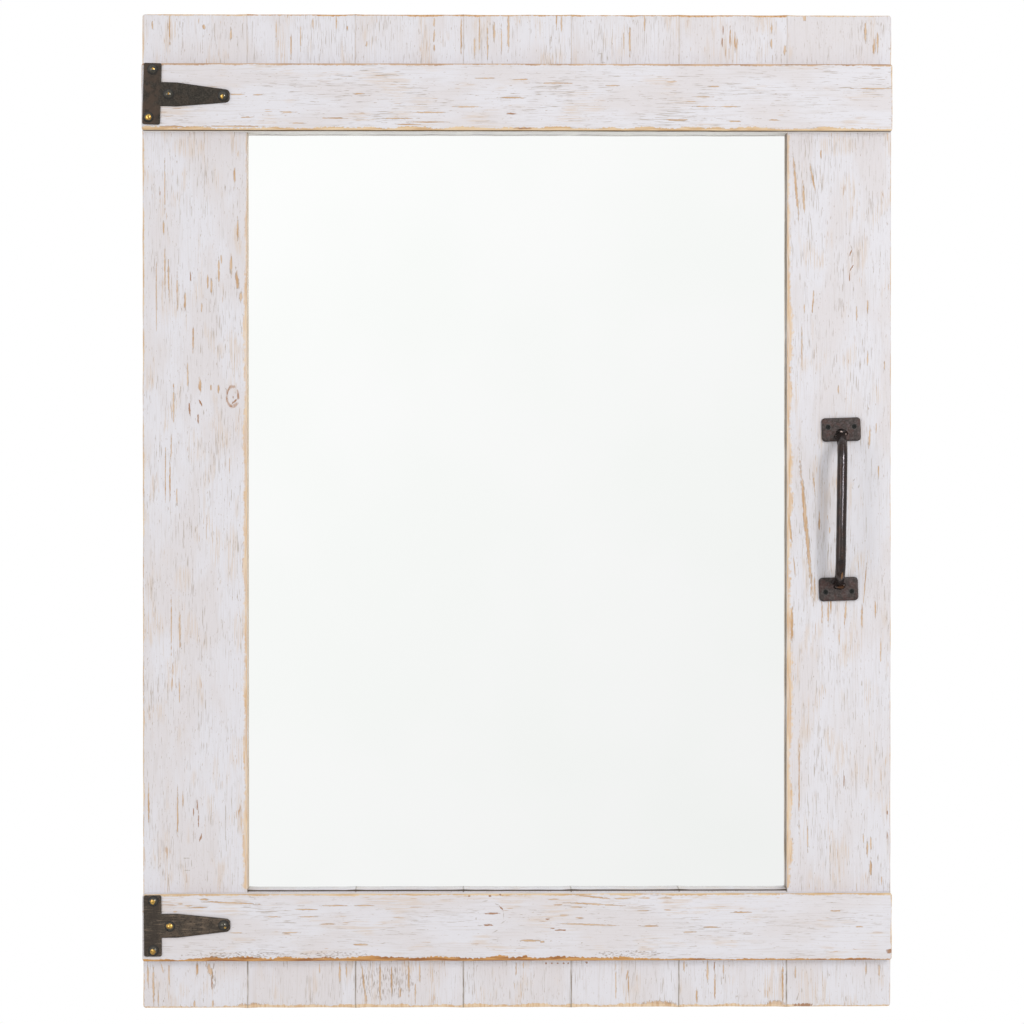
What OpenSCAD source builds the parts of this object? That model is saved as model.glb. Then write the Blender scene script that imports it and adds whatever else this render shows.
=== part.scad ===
// A wall mirror built like a small ledged plank door. Seven upright boards stand side by side, the
// middle five are cut away round the mirror, and two rails lie across the front. Two iron T plates
// look like strap hinges, and a bowed iron pull sits on the right. Two ring hangers are on the back.
// X is to the right and Z is up. The wall is the plane y = 0, the front looks along -Y, and the
// origin is the middle of the back.

/* [Boards] */
// Width across all seven boards
door_w = 613; // [520:1:900]
// Height of the two outer boards
door_h = 813; // [640:1:1400]
// Width of each outer board
stile_w = 85.7; // [78:0.1:110]
// Thickness of every board
board_t = 18; // [17:0.5:25]
// Height of the short boards above the mirror
upper_board_h = 96.3; // [92:0.1:130]
// Height of the short boards below the mirror
lower_board_h = 96.9; // [92:0.1:130]
// Width of the small flats along the front edges of boards and rails
arris = 1.2; // [0.4:0.1:2]

/* [Rails] */
// Height of each rail
rail_h = 55.4; // [51:0.1:70]
// Thickness of each rail
rail_t = 10; // [8:0.5:16]
// Strip of board between the mirror opening and the upper rail
upper_rail_reveal = 0; // [0:0.1:10]
// Strip of board between the mirror opening and the lower rail
lower_rail_reveal = 2.1; // [0:0.1:10]
// Distance from a rail's long edges in to its two rows of screws
rail_screw_inset = 12; // [9:0.5:16]

/* [Mirror] */
// Thickness of the glass
glass_t = 3; // [2:0.5:5]
// Thickness of the packing card behind the glass
card_t = 1; // [0.5:0.5:3]
// Reach of the rebate past the opening, all round
rebate_w = 7; // [5:0.5:9]
// Gap between the glass and the sides of its rebate
glass_gap = 1; // [0.4:0.1:2]
// Thickness of the backing board
backing_t = 3; // [2:0.5:4]
// Reach of the backing board past the opening, all round
backing_lap = 20; // [18:1:28]

/* [Hinge plates] */
// Length of each plate along the rail
plate_l = 70.5; // [60:0.5:76]
// Height of the plate's upright leaf
leaf_h = 50; // [44:0.5:50]
// Width of the plate's upright leaf
leaf_w = 14.5; // [12:0.5:18]
// Thickness of the plate
plate_t = 1.6; // [1:0.1:3]
// Height of the strap where it leaves the leaf
strap_root_h = 19.5; // [16:0.5:24]
// Distance from the leaf's outer edge to where the strap starts to taper
strap_root_l = 27.5; // [24:0.5:34]
// Height of the strap at its tip
strap_tip_h = 10; // [9:0.5:12]
// Radius of the tip's corners
strap_tip_r = 3.6; // [2:0.1:4]
// Radius of the leaf's corners
leaf_r = 1.6; // [0.5:0.1:3]
// Distance from the rail's end in to the leaf
plate_inset = 1.7; // [0.8:0.1:3]
// Distance from the upper rail's upper edge down to its leaf
upper_plate_drop = 0.4; // [0.3:0.1:1]
// Distance from the lower rail's upper edge down to its leaf
lower_plate_drop = 1; // [0.3:0.1:1.6]
// Clockwise turn of the upper plate, which was nailed on a little askew
upper_plate_turn = 1.7; // [0:0.1:1.7]
// Clockwise turn of the lower plate
lower_plate_turn = -0.5; // [-1:0.1:0]

/* [Nails] */
// Diameter of the domed heads
nail_head_d = 8.6; // [6:0.1:9]
// Height of the domed heads
nail_head_h = 2.6; // [1.5:0.1:3.5]
// Diameter of the shanks
nail_shank_d = 2.4; // [1.8:0.1:3]
// Length of the shanks under the head
nail_l = 22; // [16:1:24]
// Distance from the leaf's ends in to its two nails
leaf_nail_inset = 5.2; // [4.5:0.1:7]
// Distance from the leaf's outer edge to the strap's first nail
strap_nail_x = 20.7; // [19:0.1:24]
// Distance from the strap's tip back to its last nail
tip_nail_inset = 5.5; // [4.6:0.1:8]

/* [Pull] */
// Height of the pull over its two plates
pull_h = 150; // [130:1:220]
// Height of the pull's middle above the door's middle
pull_z = 1.9; // [-60:0.1:60]
// Distance from the door's right side in to the pull's middle
pull_inset = 42.3; // [34:0.1:46]
// Distance from the boards out to the front of the grip
pull_reach = 34; // [30:0.5:45]
// Diameter of the round bar
grip_d = 8.5; // [6:0.5:10]
// Slope of the grip's legs from the face of the boards, in degrees
leg_slope = 70; // [50:1:78]
// Radius of the bends, along the middle of the bar
bend_r = 16; // [12:1:20]
// Clockwise lean of the whole pull, in degrees
pull_lean = 0.9; // [-2:0.1:2]
// Sideways tilt of the bowed bar towards the mirror, in degrees
grip_tilt = 3; // [0:0.5:5]
// Width of each fixing plate
fix_w = 32; // [30:0.5:36]
// Height of each fixing plate
fix_h = 19.3; // [18:0.1:24]
// Thickness of each fixing plate
fix_t = 2.5; // [2.5:0.1:4]
// Radius of the fixing plates' corners
fix_r = 3; // [1:0.5:4]
// Counter-clockwise turn of each fixing plate, in degrees
fix_turn = 1.8; // [0:0.1:3]
// Distance from the plate's inner edge to the middle of the leg's foot
foot_inset = 4.7; // [4.7:0.1:8]
// Radius of the weld bead round each foot
bead_r = 4.7; // [4.7:0.1:6]
// Height of the weld bead
bead_h = 2.2; // [1.5:0.1:3]
// Distance between the two screws of a plate
fix_screw_pitch = 21.4; // [20:0.1:24]
// Distance of the screws from the plate's middle towards its outer edge
fix_screw_shift = 2.2; // [0:0.1:4]

/* [Hangers] */
// Thickness of the rubber bumpers, which hold the boards off the wall
bumper_t = 6; // [6:0.5:12]
// Diameter of the bumpers
bumper_d = 12.7; // [10:0.1:20]
// Distance from the door's sides and ends in to the bumpers
bumper_inset = 20; // [12:1:28]
// Distance from the door's top down to the rings' hinge line
hanger_drop = 165; // [150:1:200]
// Distance from the door's sides in to the hangers
hanger_inset = 30; // [24:1:44]
// Width of each hanger strap
hanger_w = 14; // [12:0.5:16]
// Length of each hanger strap below the hinge line
hanger_l = 42; // [38:1:50]
// Thickness of the hanger's sheet, which is folded double
hanger_sheet = 1; // [0.8:0.1:1.1]
// Diameter of the ring's wire
ring_wire_d = 2.4; // [2:0.1:2.5]
// Height of the ring from its bar to its arc, along the middle of the wire
ring_reach = 17; // [16:0.5:24]
// Radius of the ring's two lower corners, along the middle of the wire
ring_corner_r = 3; // [2:0.1:3.5]
// Distance from the hinge line down to the hanger's upper screw
hanger_screw_top = 9; // [8.5:0.1:10]
// Distance between the hanger's two screws
hanger_screw_pitch = 21; // [18:0.5:24]

/* [Screws] */
// Diameter of the countersunk heads of the rail screws
rail_screw_head_d = 7.4; // [6:0.1:9]
// Diameter of the rail screws' shanks
rail_screw_d = 3.8; // [3:0.1:4.5]
// Wood left in front of the rail screws' tips
rail_screw_cover = 3; // [2:0.5:5]
// Diameter of the pan heads of the backing screws
backing_screw_head_d = 6.4; // [5:0.1:8]
// Height of the pan heads of the backing screws
backing_screw_head_h = 1.7; // [1.2:0.1:1.9]
// Diameter of the backing screws' shanks
backing_screw_d = 3; // [2.5:0.1:3.5]
// Length of the backing screws under the head
backing_screw_l = 12; // [8:1:16]
// Distance from the mirror opening's ends to the side rows' first screw
backing_screw_end = 30; // [15:1:60]
// Diameter of the countersunk heads of the pull's screws
pull_screw_head_d = 5.6; // [5:0.1:7]
// Diameter of the pull screws' shanks
pull_screw_d = 3; // [2.6:0.1:3.6]
// Length of the pull screws over all
pull_screw_l = 16; // [12:1:18]
// Diameter of the pan heads of the hanger screws
hanger_screw_head_d = 7; // [6:0.1:8]
// Height of the pan heads of the hanger screws
hanger_screw_head_h = 2; // [1.2:0.1:2.2]
// Diameter of the hanger screws' shanks
hanger_screw_d = 3.5; // [3:0.1:4]
// Length of the hanger screws under the head
hanger_screw_l = 14; // [10:1:16]
// Depth of the cross cut in every screw's head
cross_depth = 1.1; // [0.6:0.1:1.2]
// Width of the cross cut in every screw's head
cross_w = 0.9; // [0.6:0.1:1.2]
// Room round a shank in its hole, on the radius
hole_play = 0.1; // [0.05:0.01:0.3]

/* [Hidden] */
$fn = 64;
// Small extra depth, so that a cut runs clear through its surface
cut = 0.1;
// Steps along a rounded corner of a sheet-metal outline
corner_steps = 6;
// Facets round the pull's bar, and steps along each of its bends
grip_sides = 32;
bend_steps = 8;
// Room between the ring's bar and its loop, on the radius
ring_play = 0.1;
// Gap between the loop and the boards, and between the ring at rest and the boards
loop_lift = 0.1;
ring_rest_gap = 0.3;
// Play between the hanger strap's sides and the ring's corners
ring_side_play = 1;
// The short boards are five above and five below, one node each
middle_boards = 5;
side_screws = 5;
// Sideways stray of the hand-driven nails: leaf top, leaf foot, strap root, strap tip
upper_nail_stray = [[0, 0], [-2.3, 0.6], [0, 0], [0, 0]];
lower_nail_stray = [[0.8, 0.5], [0.6, 0], [0.6, -0.5], [0, 0]];

// Planes in depth, from the wall outwards
back_y = -bumper_t;
board_y = back_y - board_t;
rail_y = board_y - rail_t;
plate_y = rail_y - plate_t;
fix_y = board_y - fix_t;
rebate_depth = glass_t + card_t;
backing_y = back_y + backing_t;

// The mirror opening and the boards round it
opening_w = door_w - 2 * stile_w;
opening_top = door_h / 2 - upper_board_h;
opening_foot = -door_h / 2 + lower_board_h;
middle_w = opening_w / middle_boards;
board_left = concat([-door_w / 2], [for (i = [0:middle_boards - 1]) -opening_w / 2 + i * middle_w], [opening_w / 2]);
board_width = concat([stile_w], [for (i = [0:middle_boards - 1]) middle_w], [stile_w]);
last_board = middle_boards + 1;

// The lower edge of each rail
upper_rail_z = opening_top + upper_rail_reveal;
lower_rail_z = opening_foot - lower_rail_reveal - rail_h;

// Screws through the boards into the rails, two on a diagonal of each board
function board_pair(i, rail_z) = [
    [board_left[i] + board_width[i] / 4, rail_z + rail_screw_inset],
    [board_left[i] + board_width[i] * 3 / 4, rail_z + rail_h - rail_screw_inset]
];
upper_rail_screw_at = [for (i = [0:last_board]) each board_pair(i, upper_rail_z)];
lower_rail_screw_at = [for (i = [0:last_board]) each board_pair(i, lower_rail_z)];
rail_screw_l = board_t + rail_t - rail_screw_cover;

// Screws round the backing board, midway between the rebate and the board's edge
backing_screw_out = (rebate_w + backing_lap) / 2;
side_screw_low = opening_foot + backing_screw_end;
side_screw_step = (opening_top - opening_foot - 2 * backing_screw_end) / (side_screws - 1);
backing_screw_at = concat(
    [for (side = [-1, 1]) for (k = [0:side_screws - 1])
        [side * (opening_w / 2 + backing_screw_out), side_screw_low + k * side_screw_step]],
    [for (i = [1:middle_boards]) for (z = [opening_top + backing_screw_out, opening_foot - backing_screw_out])
        [board_left[i] + middle_w / 2, z]]
);

// A point turned clockwise, as seen from the front
function turned(p, a) = [p[0] * cos(a) + p[1] * sin(a), p[1] * cos(a) - p[0] * sin(a)];

// Nails of one hinge plate, from the middle of its leaf
function plate_nails(stray) = [
    [0, leaf_h / 2 - leaf_nail_inset] + stray[0],
    [0, leaf_nail_inset - leaf_h / 2] + stray[1],
    [strap_nail_x - leaf_w / 2, 0] + stray[2],
    [plate_l - tip_nail_inset - leaf_w / 2, 0] + stray[3]
];
leaf_x = -door_w / 2 + plate_inset + leaf_w / 2;
upper_leaf_at = [leaf_x, upper_rail_z + rail_h - upper_plate_drop - leaf_h / 2];
lower_leaf_at = [leaf_x, lower_rail_z + rail_h - lower_plate_drop - leaf_h / 2];
upper_nail_at = [for (p = plate_nails(upper_nail_stray)) upper_leaf_at + turned(p, upper_plate_turn)];
lower_nail_at = [for (p = plate_nails(lower_nail_stray)) lower_leaf_at + turned(p, lower_plate_turn)];

// The pull's plates and screws
pull_at = [door_w / 2 - pull_inset, pull_z];
fix_out = (pull_h - fix_h) / 2;
function fix_at(side) = pull_at + turned([0, side * fix_out], pull_lean);
function fix_screws(side) = [for (x = [-fix_screw_pitch / 2, fix_screw_pitch / 2])
    fix_at(side) + turned([x, side * fix_screw_shift], -fix_turn)];
pull_screw_at = concat(fix_screws(1), fix_screws(-1));
foot_z = pull_h / 2 - fix_h + foot_inset;
grip_r = grip_d / 2;
grip_y = board_y - pull_reach + grip_r;
// Where a leg's middle line meets the grip's, and where the bend starts
knee_z = foot_z - (fix_y - grip_y) / tan(leg_slope);
bend_z = knee_z - bend_r * tan(leg_slope / 2);

// The ring hangers
hanger_z = door_h / 2 - hanger_drop;
hanger_x = door_w / 2 - hanger_inset;
hanger_face_y = back_y + 2 * hanger_sheet;
loop_r = ring_wire_d / 2 + ring_play + hanger_sheet;
loop_rise = loop_r + loop_lift;
loop_y = back_y + loop_rise;
ring_half_w = hanger_w / 2 + ring_side_play + ring_corner_r;
// The ring leans back until it all but touches the boards
ring_lean = asin((loop_rise - ring_wire_d / 2 - ring_rest_gap) / ring_reach);
hanger_screw_zs = [hanger_z - hanger_screw_top, hanger_z - hanger_screw_top - hanger_screw_pitch];
hanger_screw_at = [for (x = [-hanger_x, hanger_x]) for (z = hanger_screw_zs) [x, z]];

// Places a child that was drawn with its tip down at a point of the door: driven in from the back
module from_back(p, y) translate([p[0], y, p[1]]) rotate([-90, 0, 0]) children();
// The same, driven in from the front
module from_front(p, y) translate([p[0], y, p[1]]) rotate([90, 0, 0]) children();

// Points on the arc of a rounded corner
function corner(c, r, start) = [for (i = [0:corner_steps])
    c + r * [cos(start + 90 * i / corner_steps), sin(start + 90 * i / corner_steps)]];

// Outline of a rounded plate round its own middle
function plate_outline(w, h, r) = concat(
    corner([w / 2 - r, h / 2 - r], r, 0),
    corner([r - w / 2, h / 2 - r], r, 90),
    corner([r - w / 2, r - h / 2], r, 180),
    corner([w / 2 - r, r - h / 2], r, 270)
);

// A plank's section with its two front edges eased: width along X, thickness along Y from the front
function eased_section(w, t) = [
    [arris, 0], [w - arris, 0], [w, arris], [w, t], [0, t], [0, arris]
];

// Shank with a pointed tip, from z = 0 down
module shank(d, l) {
    tip = d * 1.2;
    translate([0, 0, tip - l])
        cylinder(d = d, h = l - tip);
    translate([0, 0, -l])
        cylinder(d1 = d / 6, d2 = d, h = tip);
}

module cross_cut(top, across) {
    for (a = [0, 90])
        rotate(a)
            translate([-across / 2, -cross_w / 2, top - cross_depth])
                cube([across, cross_w, cross_depth + cut]);
}

// Height of a countersunk head's 90 degree cone
function sunk_h(head_d, d) = (head_d - d) / 2;

// Countersunk screw with its top flush at z = 0
module sunk_screw(head_d, d, l) {
    difference() {
        union() {
            translate([0, 0, -sunk_h(head_d, d)])
                cylinder(d1 = d, d2 = head_d, h = sunk_h(head_d, d));
            translate([0, 0, -sunk_h(head_d, d)])
                shank(d, l - sunk_h(head_d, d));
        }
        cross_cut(0, head_d / 2);
    }
}

// Hole for that screw, with room all round
module sunk_hole(head_d, d, l) {
    translate([0, 0, -l - 1])
        cylinder(d = d + 2 * hole_play, h = l + 1 + cut);
    translate([0, 0, -sunk_h(head_d, d)])
        cylinder(d1 = d + 2 * hole_play, d2 = head_d + 2 * hole_play, h = sunk_h(head_d, d));
    cylinder(d = head_d + 2 * hole_play, h = cut);
}

// Pan-head screw whose head sits on z = 0
module pan_screw(head_d, head_h, d, l) {
    difference() {
        union() {
            cylinder(d = head_d, h = head_h / 2);
            translate([0, 0, head_h / 2])
                cylinder(d1 = head_d, d2 = head_d * 0.7, h = head_h / 2);
            shank(d, l);
        }
        cross_cut(head_h, head_d / 2);
    }
}

module plain_hole(d, l) {
    translate([0, 0, -l - 1])
        cylinder(d = d + 2 * hole_play, h = l + 1 + cut);
}

// Domed nail whose head sits on z = 0
module domed_nail() {
    r = nail_head_d / 2;
    dome_r = (r * r + nail_head_h * nail_head_h) / (2 * nail_head_h);
    intersection() {
        translate([0, 0, nail_head_h - dome_r])
            sphere(r = dome_r);
        cylinder(r = r, h = nail_head_h + cut);
    }
    shank(nail_shank_d, nail_l);
}

// The recess round the back of the opening that takes the glass and the card
module rebate() {
    translate([-opening_w / 2 - rebate_w, back_y - rebate_depth, opening_foot - rebate_w])
        cube([opening_w + 2 * rebate_w, rebate_depth + cut, opening_top - opening_foot + 2 * rebate_w]);
}

// Those of the points that fall on board i between two heights
function on_board(points, i, low, high) = [for (p = points)
    if (p[0] > board_left[i] && p[0] < board_left[i] + board_width[i] && p[1] > low && p[1] < high) p];

// One upright board from the height low to the height high, with every hole that falls on it
module board(i, low, high) {
    color("gainsboro")
        difference() {
            translate([board_left[i], board_y, low])
                linear_extrude(high - low)
                    polygon(eased_section(board_width[i], board_t));
            rebate();
            for (p = on_board(concat(upper_rail_screw_at, lower_rail_screw_at), i, low, high))
                from_back(p, back_y)
                    sunk_hole(rail_screw_head_d, rail_screw_d, board_t);
            for (p = on_board(backing_screw_at, i, low, high))
                from_back(p, backing_y)
                    plain_hole(backing_screw_d, backing_screw_l);
            for (p = on_board(hanger_screw_at, i, low, high))
                from_back(p, hanger_face_y)
                    plain_hole(hanger_screw_d, hanger_screw_l);
            for (p = on_board(concat(upper_nail_at, lower_nail_at), i, low, high))
                from_front(p, plate_y)
                    plain_hole(nail_shank_d, nail_l);
            for (p = on_board(pull_screw_at, i, low, high))
                from_front(p, fix_y)
                    plain_hole(pull_screw_d, pull_screw_l);
        }
}

module left_stile() board(0, -door_h / 2, door_h / 2);
module right_stile() board(last_board, -door_h / 2, door_h / 2);
module upper_board(i) board(i, opening_top, door_h / 2);
module lower_board(i) board(i, -door_h / 2, opening_foot);

// A rail across the whole front, from its lower edge up
module rail(low, screws, nails) {
    color("gainsboro")
        difference() {
            translate([-door_w / 2, rail_y, low + rail_h])
                rotate([0, 90, 0])
                    linear_extrude(door_w)
                        polygon(eased_section(rail_h, rail_t));
            for (p = screws)
                from_back(p, back_y)
                    plain_hole(rail_screw_d, rail_screw_l);
            for (p = nails)
                from_front(p, plate_y)
                    plain_hole(nail_shank_d, nail_l);
        }
}

module upper_rail() rail(upper_rail_z, upper_rail_screw_at, upper_nail_at);
module lower_rail() rail(lower_rail_z, lower_rail_screw_at, lower_nail_at);

module rail_screws(points) {
    color("silver")
        for (p = points)
            from_back(p, back_y)
                sunk_screw(rail_screw_head_d, rail_screw_d, rail_screw_l);
}

// A sheet in the rebate, from the depth y and of the thickness t
module rebate_sheet(y, t) {
    reach = rebate_w - glass_gap;
    translate([-opening_w / 2 - reach, y, opening_foot - reach])
        cube([opening_w + 2 * reach, t, opening_top - opening_foot + 2 * reach]);
}

module mirror_glass() color("lightcyan") rebate_sheet(back_y - rebate_depth, glass_t);
module packing_card() color("burlywood") rebate_sheet(back_y - card_t, card_t);

module backing_board() {
    color("peru")
        difference() {
            translate([-opening_w / 2 - backing_lap, back_y, opening_foot - backing_lap])
                cube([opening_w + 2 * backing_lap, backing_t, opening_top - opening_foot + 2 * backing_lap]);
            for (p = backing_screw_at)
                from_back(p, backing_y)
                    plain_hole(backing_screw_d, backing_screw_l);
        }
}

module backing_screws() {
    color("silver")
        for (p = backing_screw_at)
            from_back(p, backing_y)
                pan_screw(backing_screw_head_d, backing_screw_head_h, backing_screw_d, backing_screw_l);
}

// Outline of a T plate: X along the strap from the leaf's outer edge, Y up from the leaf's middle
hinge_outline = concat(
    corner([leaf_w - leaf_r, leaf_h / 2 - leaf_r], leaf_r, 0),
    corner([leaf_r, leaf_h / 2 - leaf_r], leaf_r, 90),
    corner([leaf_r, leaf_r - leaf_h / 2], leaf_r, 180),
    corner([leaf_w - leaf_r, leaf_r - leaf_h / 2], leaf_r, 270),
    [[leaf_w, -strap_root_h / 2], [strap_root_l, -strap_root_h / 2]],
    corner([plate_l - strap_tip_r, strap_tip_r - strap_tip_h / 2], strap_tip_r, 270),
    corner([plate_l - strap_tip_r, strap_tip_h / 2 - strap_tip_r], strap_tip_r, 0),
    [[strap_root_l, strap_root_h / 2], [leaf_w, strap_root_h / 2]]
);

module hinge_plate(at, turn, nails) {
    color("#3c342f")
        difference() {
            translate([at[0], rail_y, at[1]])
                rotate([0, turn, 0])
                    rotate([90, 0, 0])
                        translate([-leaf_w / 2, 0])
                            linear_extrude(plate_t)
                                polygon(hinge_outline);
            for (p = nails)
                from_front(p, plate_y)
                    plain_hole(nail_shank_d, nail_l);
        }
}

module upper_hinge_plate() hinge_plate(upper_leaf_at, upper_plate_turn, upper_nail_at);
module lower_hinge_plate() hinge_plate(lower_leaf_at, lower_plate_turn, lower_nail_at);

module hinge_nails(points) {
    color("#6b5530")
        for (p = points)
            from_front(p, plate_y)
                domed_nail();
}

module fixing_plate(side) {
    color("#3e3634")
        difference() {
            translate([fix_at(side)[0], board_y, fix_at(side)[1]])
                rotate([0, -fix_turn, 0])
                    rotate([90, 0, 0])
                        linear_extrude(fix_t)
                            polygon(plate_outline(fix_w, fix_h, fix_r));
            for (p = fix_screws(side))
                from_front(p, fix_y)
                    sunk_hole(pull_screw_head_d, pull_screw_d, pull_screw_l);
        }
}

module pull_upper_plate() fixing_plate(1);
module pull_lower_plate() fixing_plate(-1);

// One ring of the bar: half width, middle (y, z), and the half axis across the bar in the (y, z) plane.
// The further out a point lies from the fixing plates, the further it tilts aside.
function bar_ring(ring) = [for (k = [0:grip_sides - 1])
    let (a = 360 * k / grip_sides, y = ring[1] + ring[3] * sin(a))
    [ring[0] * cos(a) + (y - fix_y) * tan(grip_tilt), y, ring[2] + ring[4] * sin(a)]];
// The bent bar of one even thickness, flared by its weld beads, which end flat on the fixing plates
upper_rings = concat(
    [for (i = [0:bend_steps]) let (a = leg_slope * i / bend_steps)
        [grip_r, grip_y + bend_r * (1 - cos(a)), bend_z + bend_r * sin(a), grip_r * cos(a), -grip_r * sin(a)]],
    [[grip_r, fix_y - bead_h, foot_z - bead_h / tan(leg_slope), 0, -grip_r / sin(leg_slope)],
    [bead_r, fix_y, foot_z, 0, -bead_r]]
);
lower_rings = [for (i = [len(upper_rings) - 1:-1:0]) let (r = upper_rings[i]) [r[0], r[1], -r[2], r[3], -r[4]]];
grip_rings = concat(lower_rings, upper_rings);

module pull_grip() {
    color("#3e3634")
        translate([pull_at[0], 0, pull_at[1]])
            rotate([0, pull_lean, 0])
                tube([for (r = grip_rings) bar_ring(r)]);
}

// Closed solid through rings of equally many points
module tube(rings) {
    n = len(rings[0]);
    last = len(rings) - 1;
    sides = [for (i = [0:last - 1]) for (k = [0:n - 1]) let (a = i * n + k, b = i * n + (k + 1) % n)
        each [[a, a + n, b + n], [a, b + n, b]]];
    foot = [for (k = [0:n - 1]) k];
    top = [for (k = [n - 1:-1:0]) last * n + k];
    polyhedron(points = [for (r = rings) each r], faces = concat(sides, [foot, top]));
}

module pull_screws() {
    color("#2b2624")
        for (p = pull_screw_at)
            from_front(p, fix_y)
                sunk_screw(pull_screw_head_d, pull_screw_d, pull_screw_l);
}

// Folded strap with the loop that holds the ring's bar
module hanger_strap(x) {
    end_r = hanger_w / 2;
    color("silver")
        difference() {
            union() {
                translate([x - end_r, back_y, hanger_z - hanger_l + end_r])
                    cube([hanger_w, 2 * hanger_sheet, hanger_l - end_r]);
                translate([x, back_y, hanger_z - hanger_l + end_r])
                    rotate([-90, 0, 0])
                        cylinder(r = end_r, h = 2 * hanger_sheet);
                translate([x - end_r, loop_y, hanger_z])
                    rotate([0, 90, 0])
                        cylinder(r = loop_r, h = hanger_w);
            }
            translate([x - hanger_w, loop_y, hanger_z])
                rotate([0, 90, 0])
                    cylinder(d = ring_wire_d + 2 * ring_play, h = 2 * hanger_w);
            for (z = hanger_screw_zs)
                from_back([x, z], hanger_face_y)
                    plain_hole(hanger_screw_d, hanger_screw_l);
        }
}

// D-shaped wire ring round its bar's middle, upright in the plane y = 0
module ring_shape() {
    bar = ring_half_w - ring_corner_r;
    arc_z = ring_reach - ring_half_w;
    translate([-bar, 0, 0])
        rotate([0, 90, 0])
            cylinder(d = ring_wire_d, h = 2 * bar);
    for (side = [0, 1])
        mirror([side, 0, 0]) {
            translate([bar, 0, ring_corner_r])
                rotate([90, 0, 0])
                    rotate([0, 0, -90])
                        rotate_extrude(angle = 90)
                            translate([ring_corner_r, 0])
                                circle(d = ring_wire_d);
            translate([ring_half_w, 0, ring_corner_r])
                cylinder(d = ring_wire_d, h = arc_z - ring_corner_r);
        }
    translate([0, 0, arc_z])
        rotate([90, 0, 0])
            rotate_extrude(angle = 180)
                translate([ring_half_w, 0])
                    circle(d = ring_wire_d);
}

module hanger_ring(x) {
    color("silver")
        translate([x, loop_y, hanger_z])
            rotate([ring_lean, 0, 0])
                ring_shape();
}

module hanger_screws(x) {
    color("silver")
        for (z = hanger_screw_zs)
            from_back([x, z], hanger_face_y)
                pan_screw(hanger_screw_head_d, hanger_screw_head_h, hanger_screw_d, hanger_screw_l);
}

module bumpers() {
    color("whitesmoke")
        for (side = [-1, 1])
            for (end = [-1, 1])
                from_back([side * (door_w / 2 - bumper_inset), end * (door_h / 2 - bumper_inset)], back_y)
                    cylinder(d = bumper_d, h = bumper_t);
}

left_stile();
right_stile();
upper_board(1);  // upper_board_1
upper_board(2);  // upper_board_2
upper_board(3);  // upper_board_3
upper_board(4);  // upper_board_4
upper_board(5);  // upper_board_5
lower_board(1);  // lower_board_1
lower_board(2);  // lower_board_2
lower_board(3);  // lower_board_3
lower_board(4);  // lower_board_4
lower_board(5);  // lower_board_5
upper_rail();
lower_rail();
rail_screws(upper_rail_screw_at);  // upper_rail_screws
rail_screws(lower_rail_screw_at);  // lower_rail_screws
mirror_glass();
packing_card();
backing_board();
backing_screws();
upper_hinge_plate();
lower_hinge_plate();
hinge_nails(upper_nail_at);  // upper_hinge_nails
hinge_nails(lower_nail_at);  // lower_hinge_nails
pull_grip();
pull_upper_plate();
pull_lower_plate();
pull_screws();
hanger_strap(-hanger_x);  // left_hanger_strap
hanger_strap(hanger_x);  // right_hanger_strap
hanger_ring(-hanger_x);  // left_hanger_ring
hanger_ring(hanger_x);  // right_hanger_ring
hanger_screws(-hanger_x);  // left_hanger_screws
hanger_screws(hanger_x);  // right_hanger_screws
bumpers();
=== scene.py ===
"""Looks of the door-shaped wall mirror: worn whitewashed boards, black iron and a silvered glass.

The model is in metres. X is to the right, Z is up, the wall is the plane y = 0, and the front
looks along -Y. Sizes given in millimetres are multiplied by MM, and finishes work in millimetres.
"""

import math

import bmesh
import bpy
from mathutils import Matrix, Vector


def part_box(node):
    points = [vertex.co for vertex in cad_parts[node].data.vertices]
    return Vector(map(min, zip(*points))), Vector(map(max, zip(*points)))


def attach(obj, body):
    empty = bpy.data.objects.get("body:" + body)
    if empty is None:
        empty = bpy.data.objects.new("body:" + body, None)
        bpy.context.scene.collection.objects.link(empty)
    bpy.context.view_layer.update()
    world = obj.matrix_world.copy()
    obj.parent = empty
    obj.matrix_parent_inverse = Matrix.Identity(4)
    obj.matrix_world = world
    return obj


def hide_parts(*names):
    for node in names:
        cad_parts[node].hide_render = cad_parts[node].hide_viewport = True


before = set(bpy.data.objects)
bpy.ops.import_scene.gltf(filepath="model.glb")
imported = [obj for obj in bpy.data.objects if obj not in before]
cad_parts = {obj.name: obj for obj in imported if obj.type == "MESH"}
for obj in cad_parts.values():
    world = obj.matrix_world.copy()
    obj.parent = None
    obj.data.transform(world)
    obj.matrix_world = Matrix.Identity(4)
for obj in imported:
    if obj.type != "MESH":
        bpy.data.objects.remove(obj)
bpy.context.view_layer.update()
MM = 0.001

# The door's main planes, read from the frame
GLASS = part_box("mirror_glass")
BACK_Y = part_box("left_stile")[1].y
BOARD_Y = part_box("left_stile")[0].y
RAIL_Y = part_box("upper_rail")[0].y
PLATE_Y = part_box("upper_hinge_plate")[0].y
FIX_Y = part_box("pull_upper_plate")[0].y
OPENING_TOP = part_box("upper_board_1")[0].z
OPENING_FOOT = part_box("lower_board_1")[1].z

# Planks: eased edges, the rounder corners of the door, and how far an edge wanders
OPEN_ARRIS = 1.1 * MM
JOINT_ARRIS = 0.35 * MM
CORNER = 2.4 * MM
GLASS_GAP = 1.0 * MM
ROW = 9 * MM
WAVE = 0.7 * MM
WAVE_LENGTH = 22 * MM
PLAY = 0.1 * MM
RAIL_SCREW_SHANK = 1.9 * MM

# Points no deeper than this belong to an iron plate's front face
FACE_SKIN = 0.1 * MM

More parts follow.
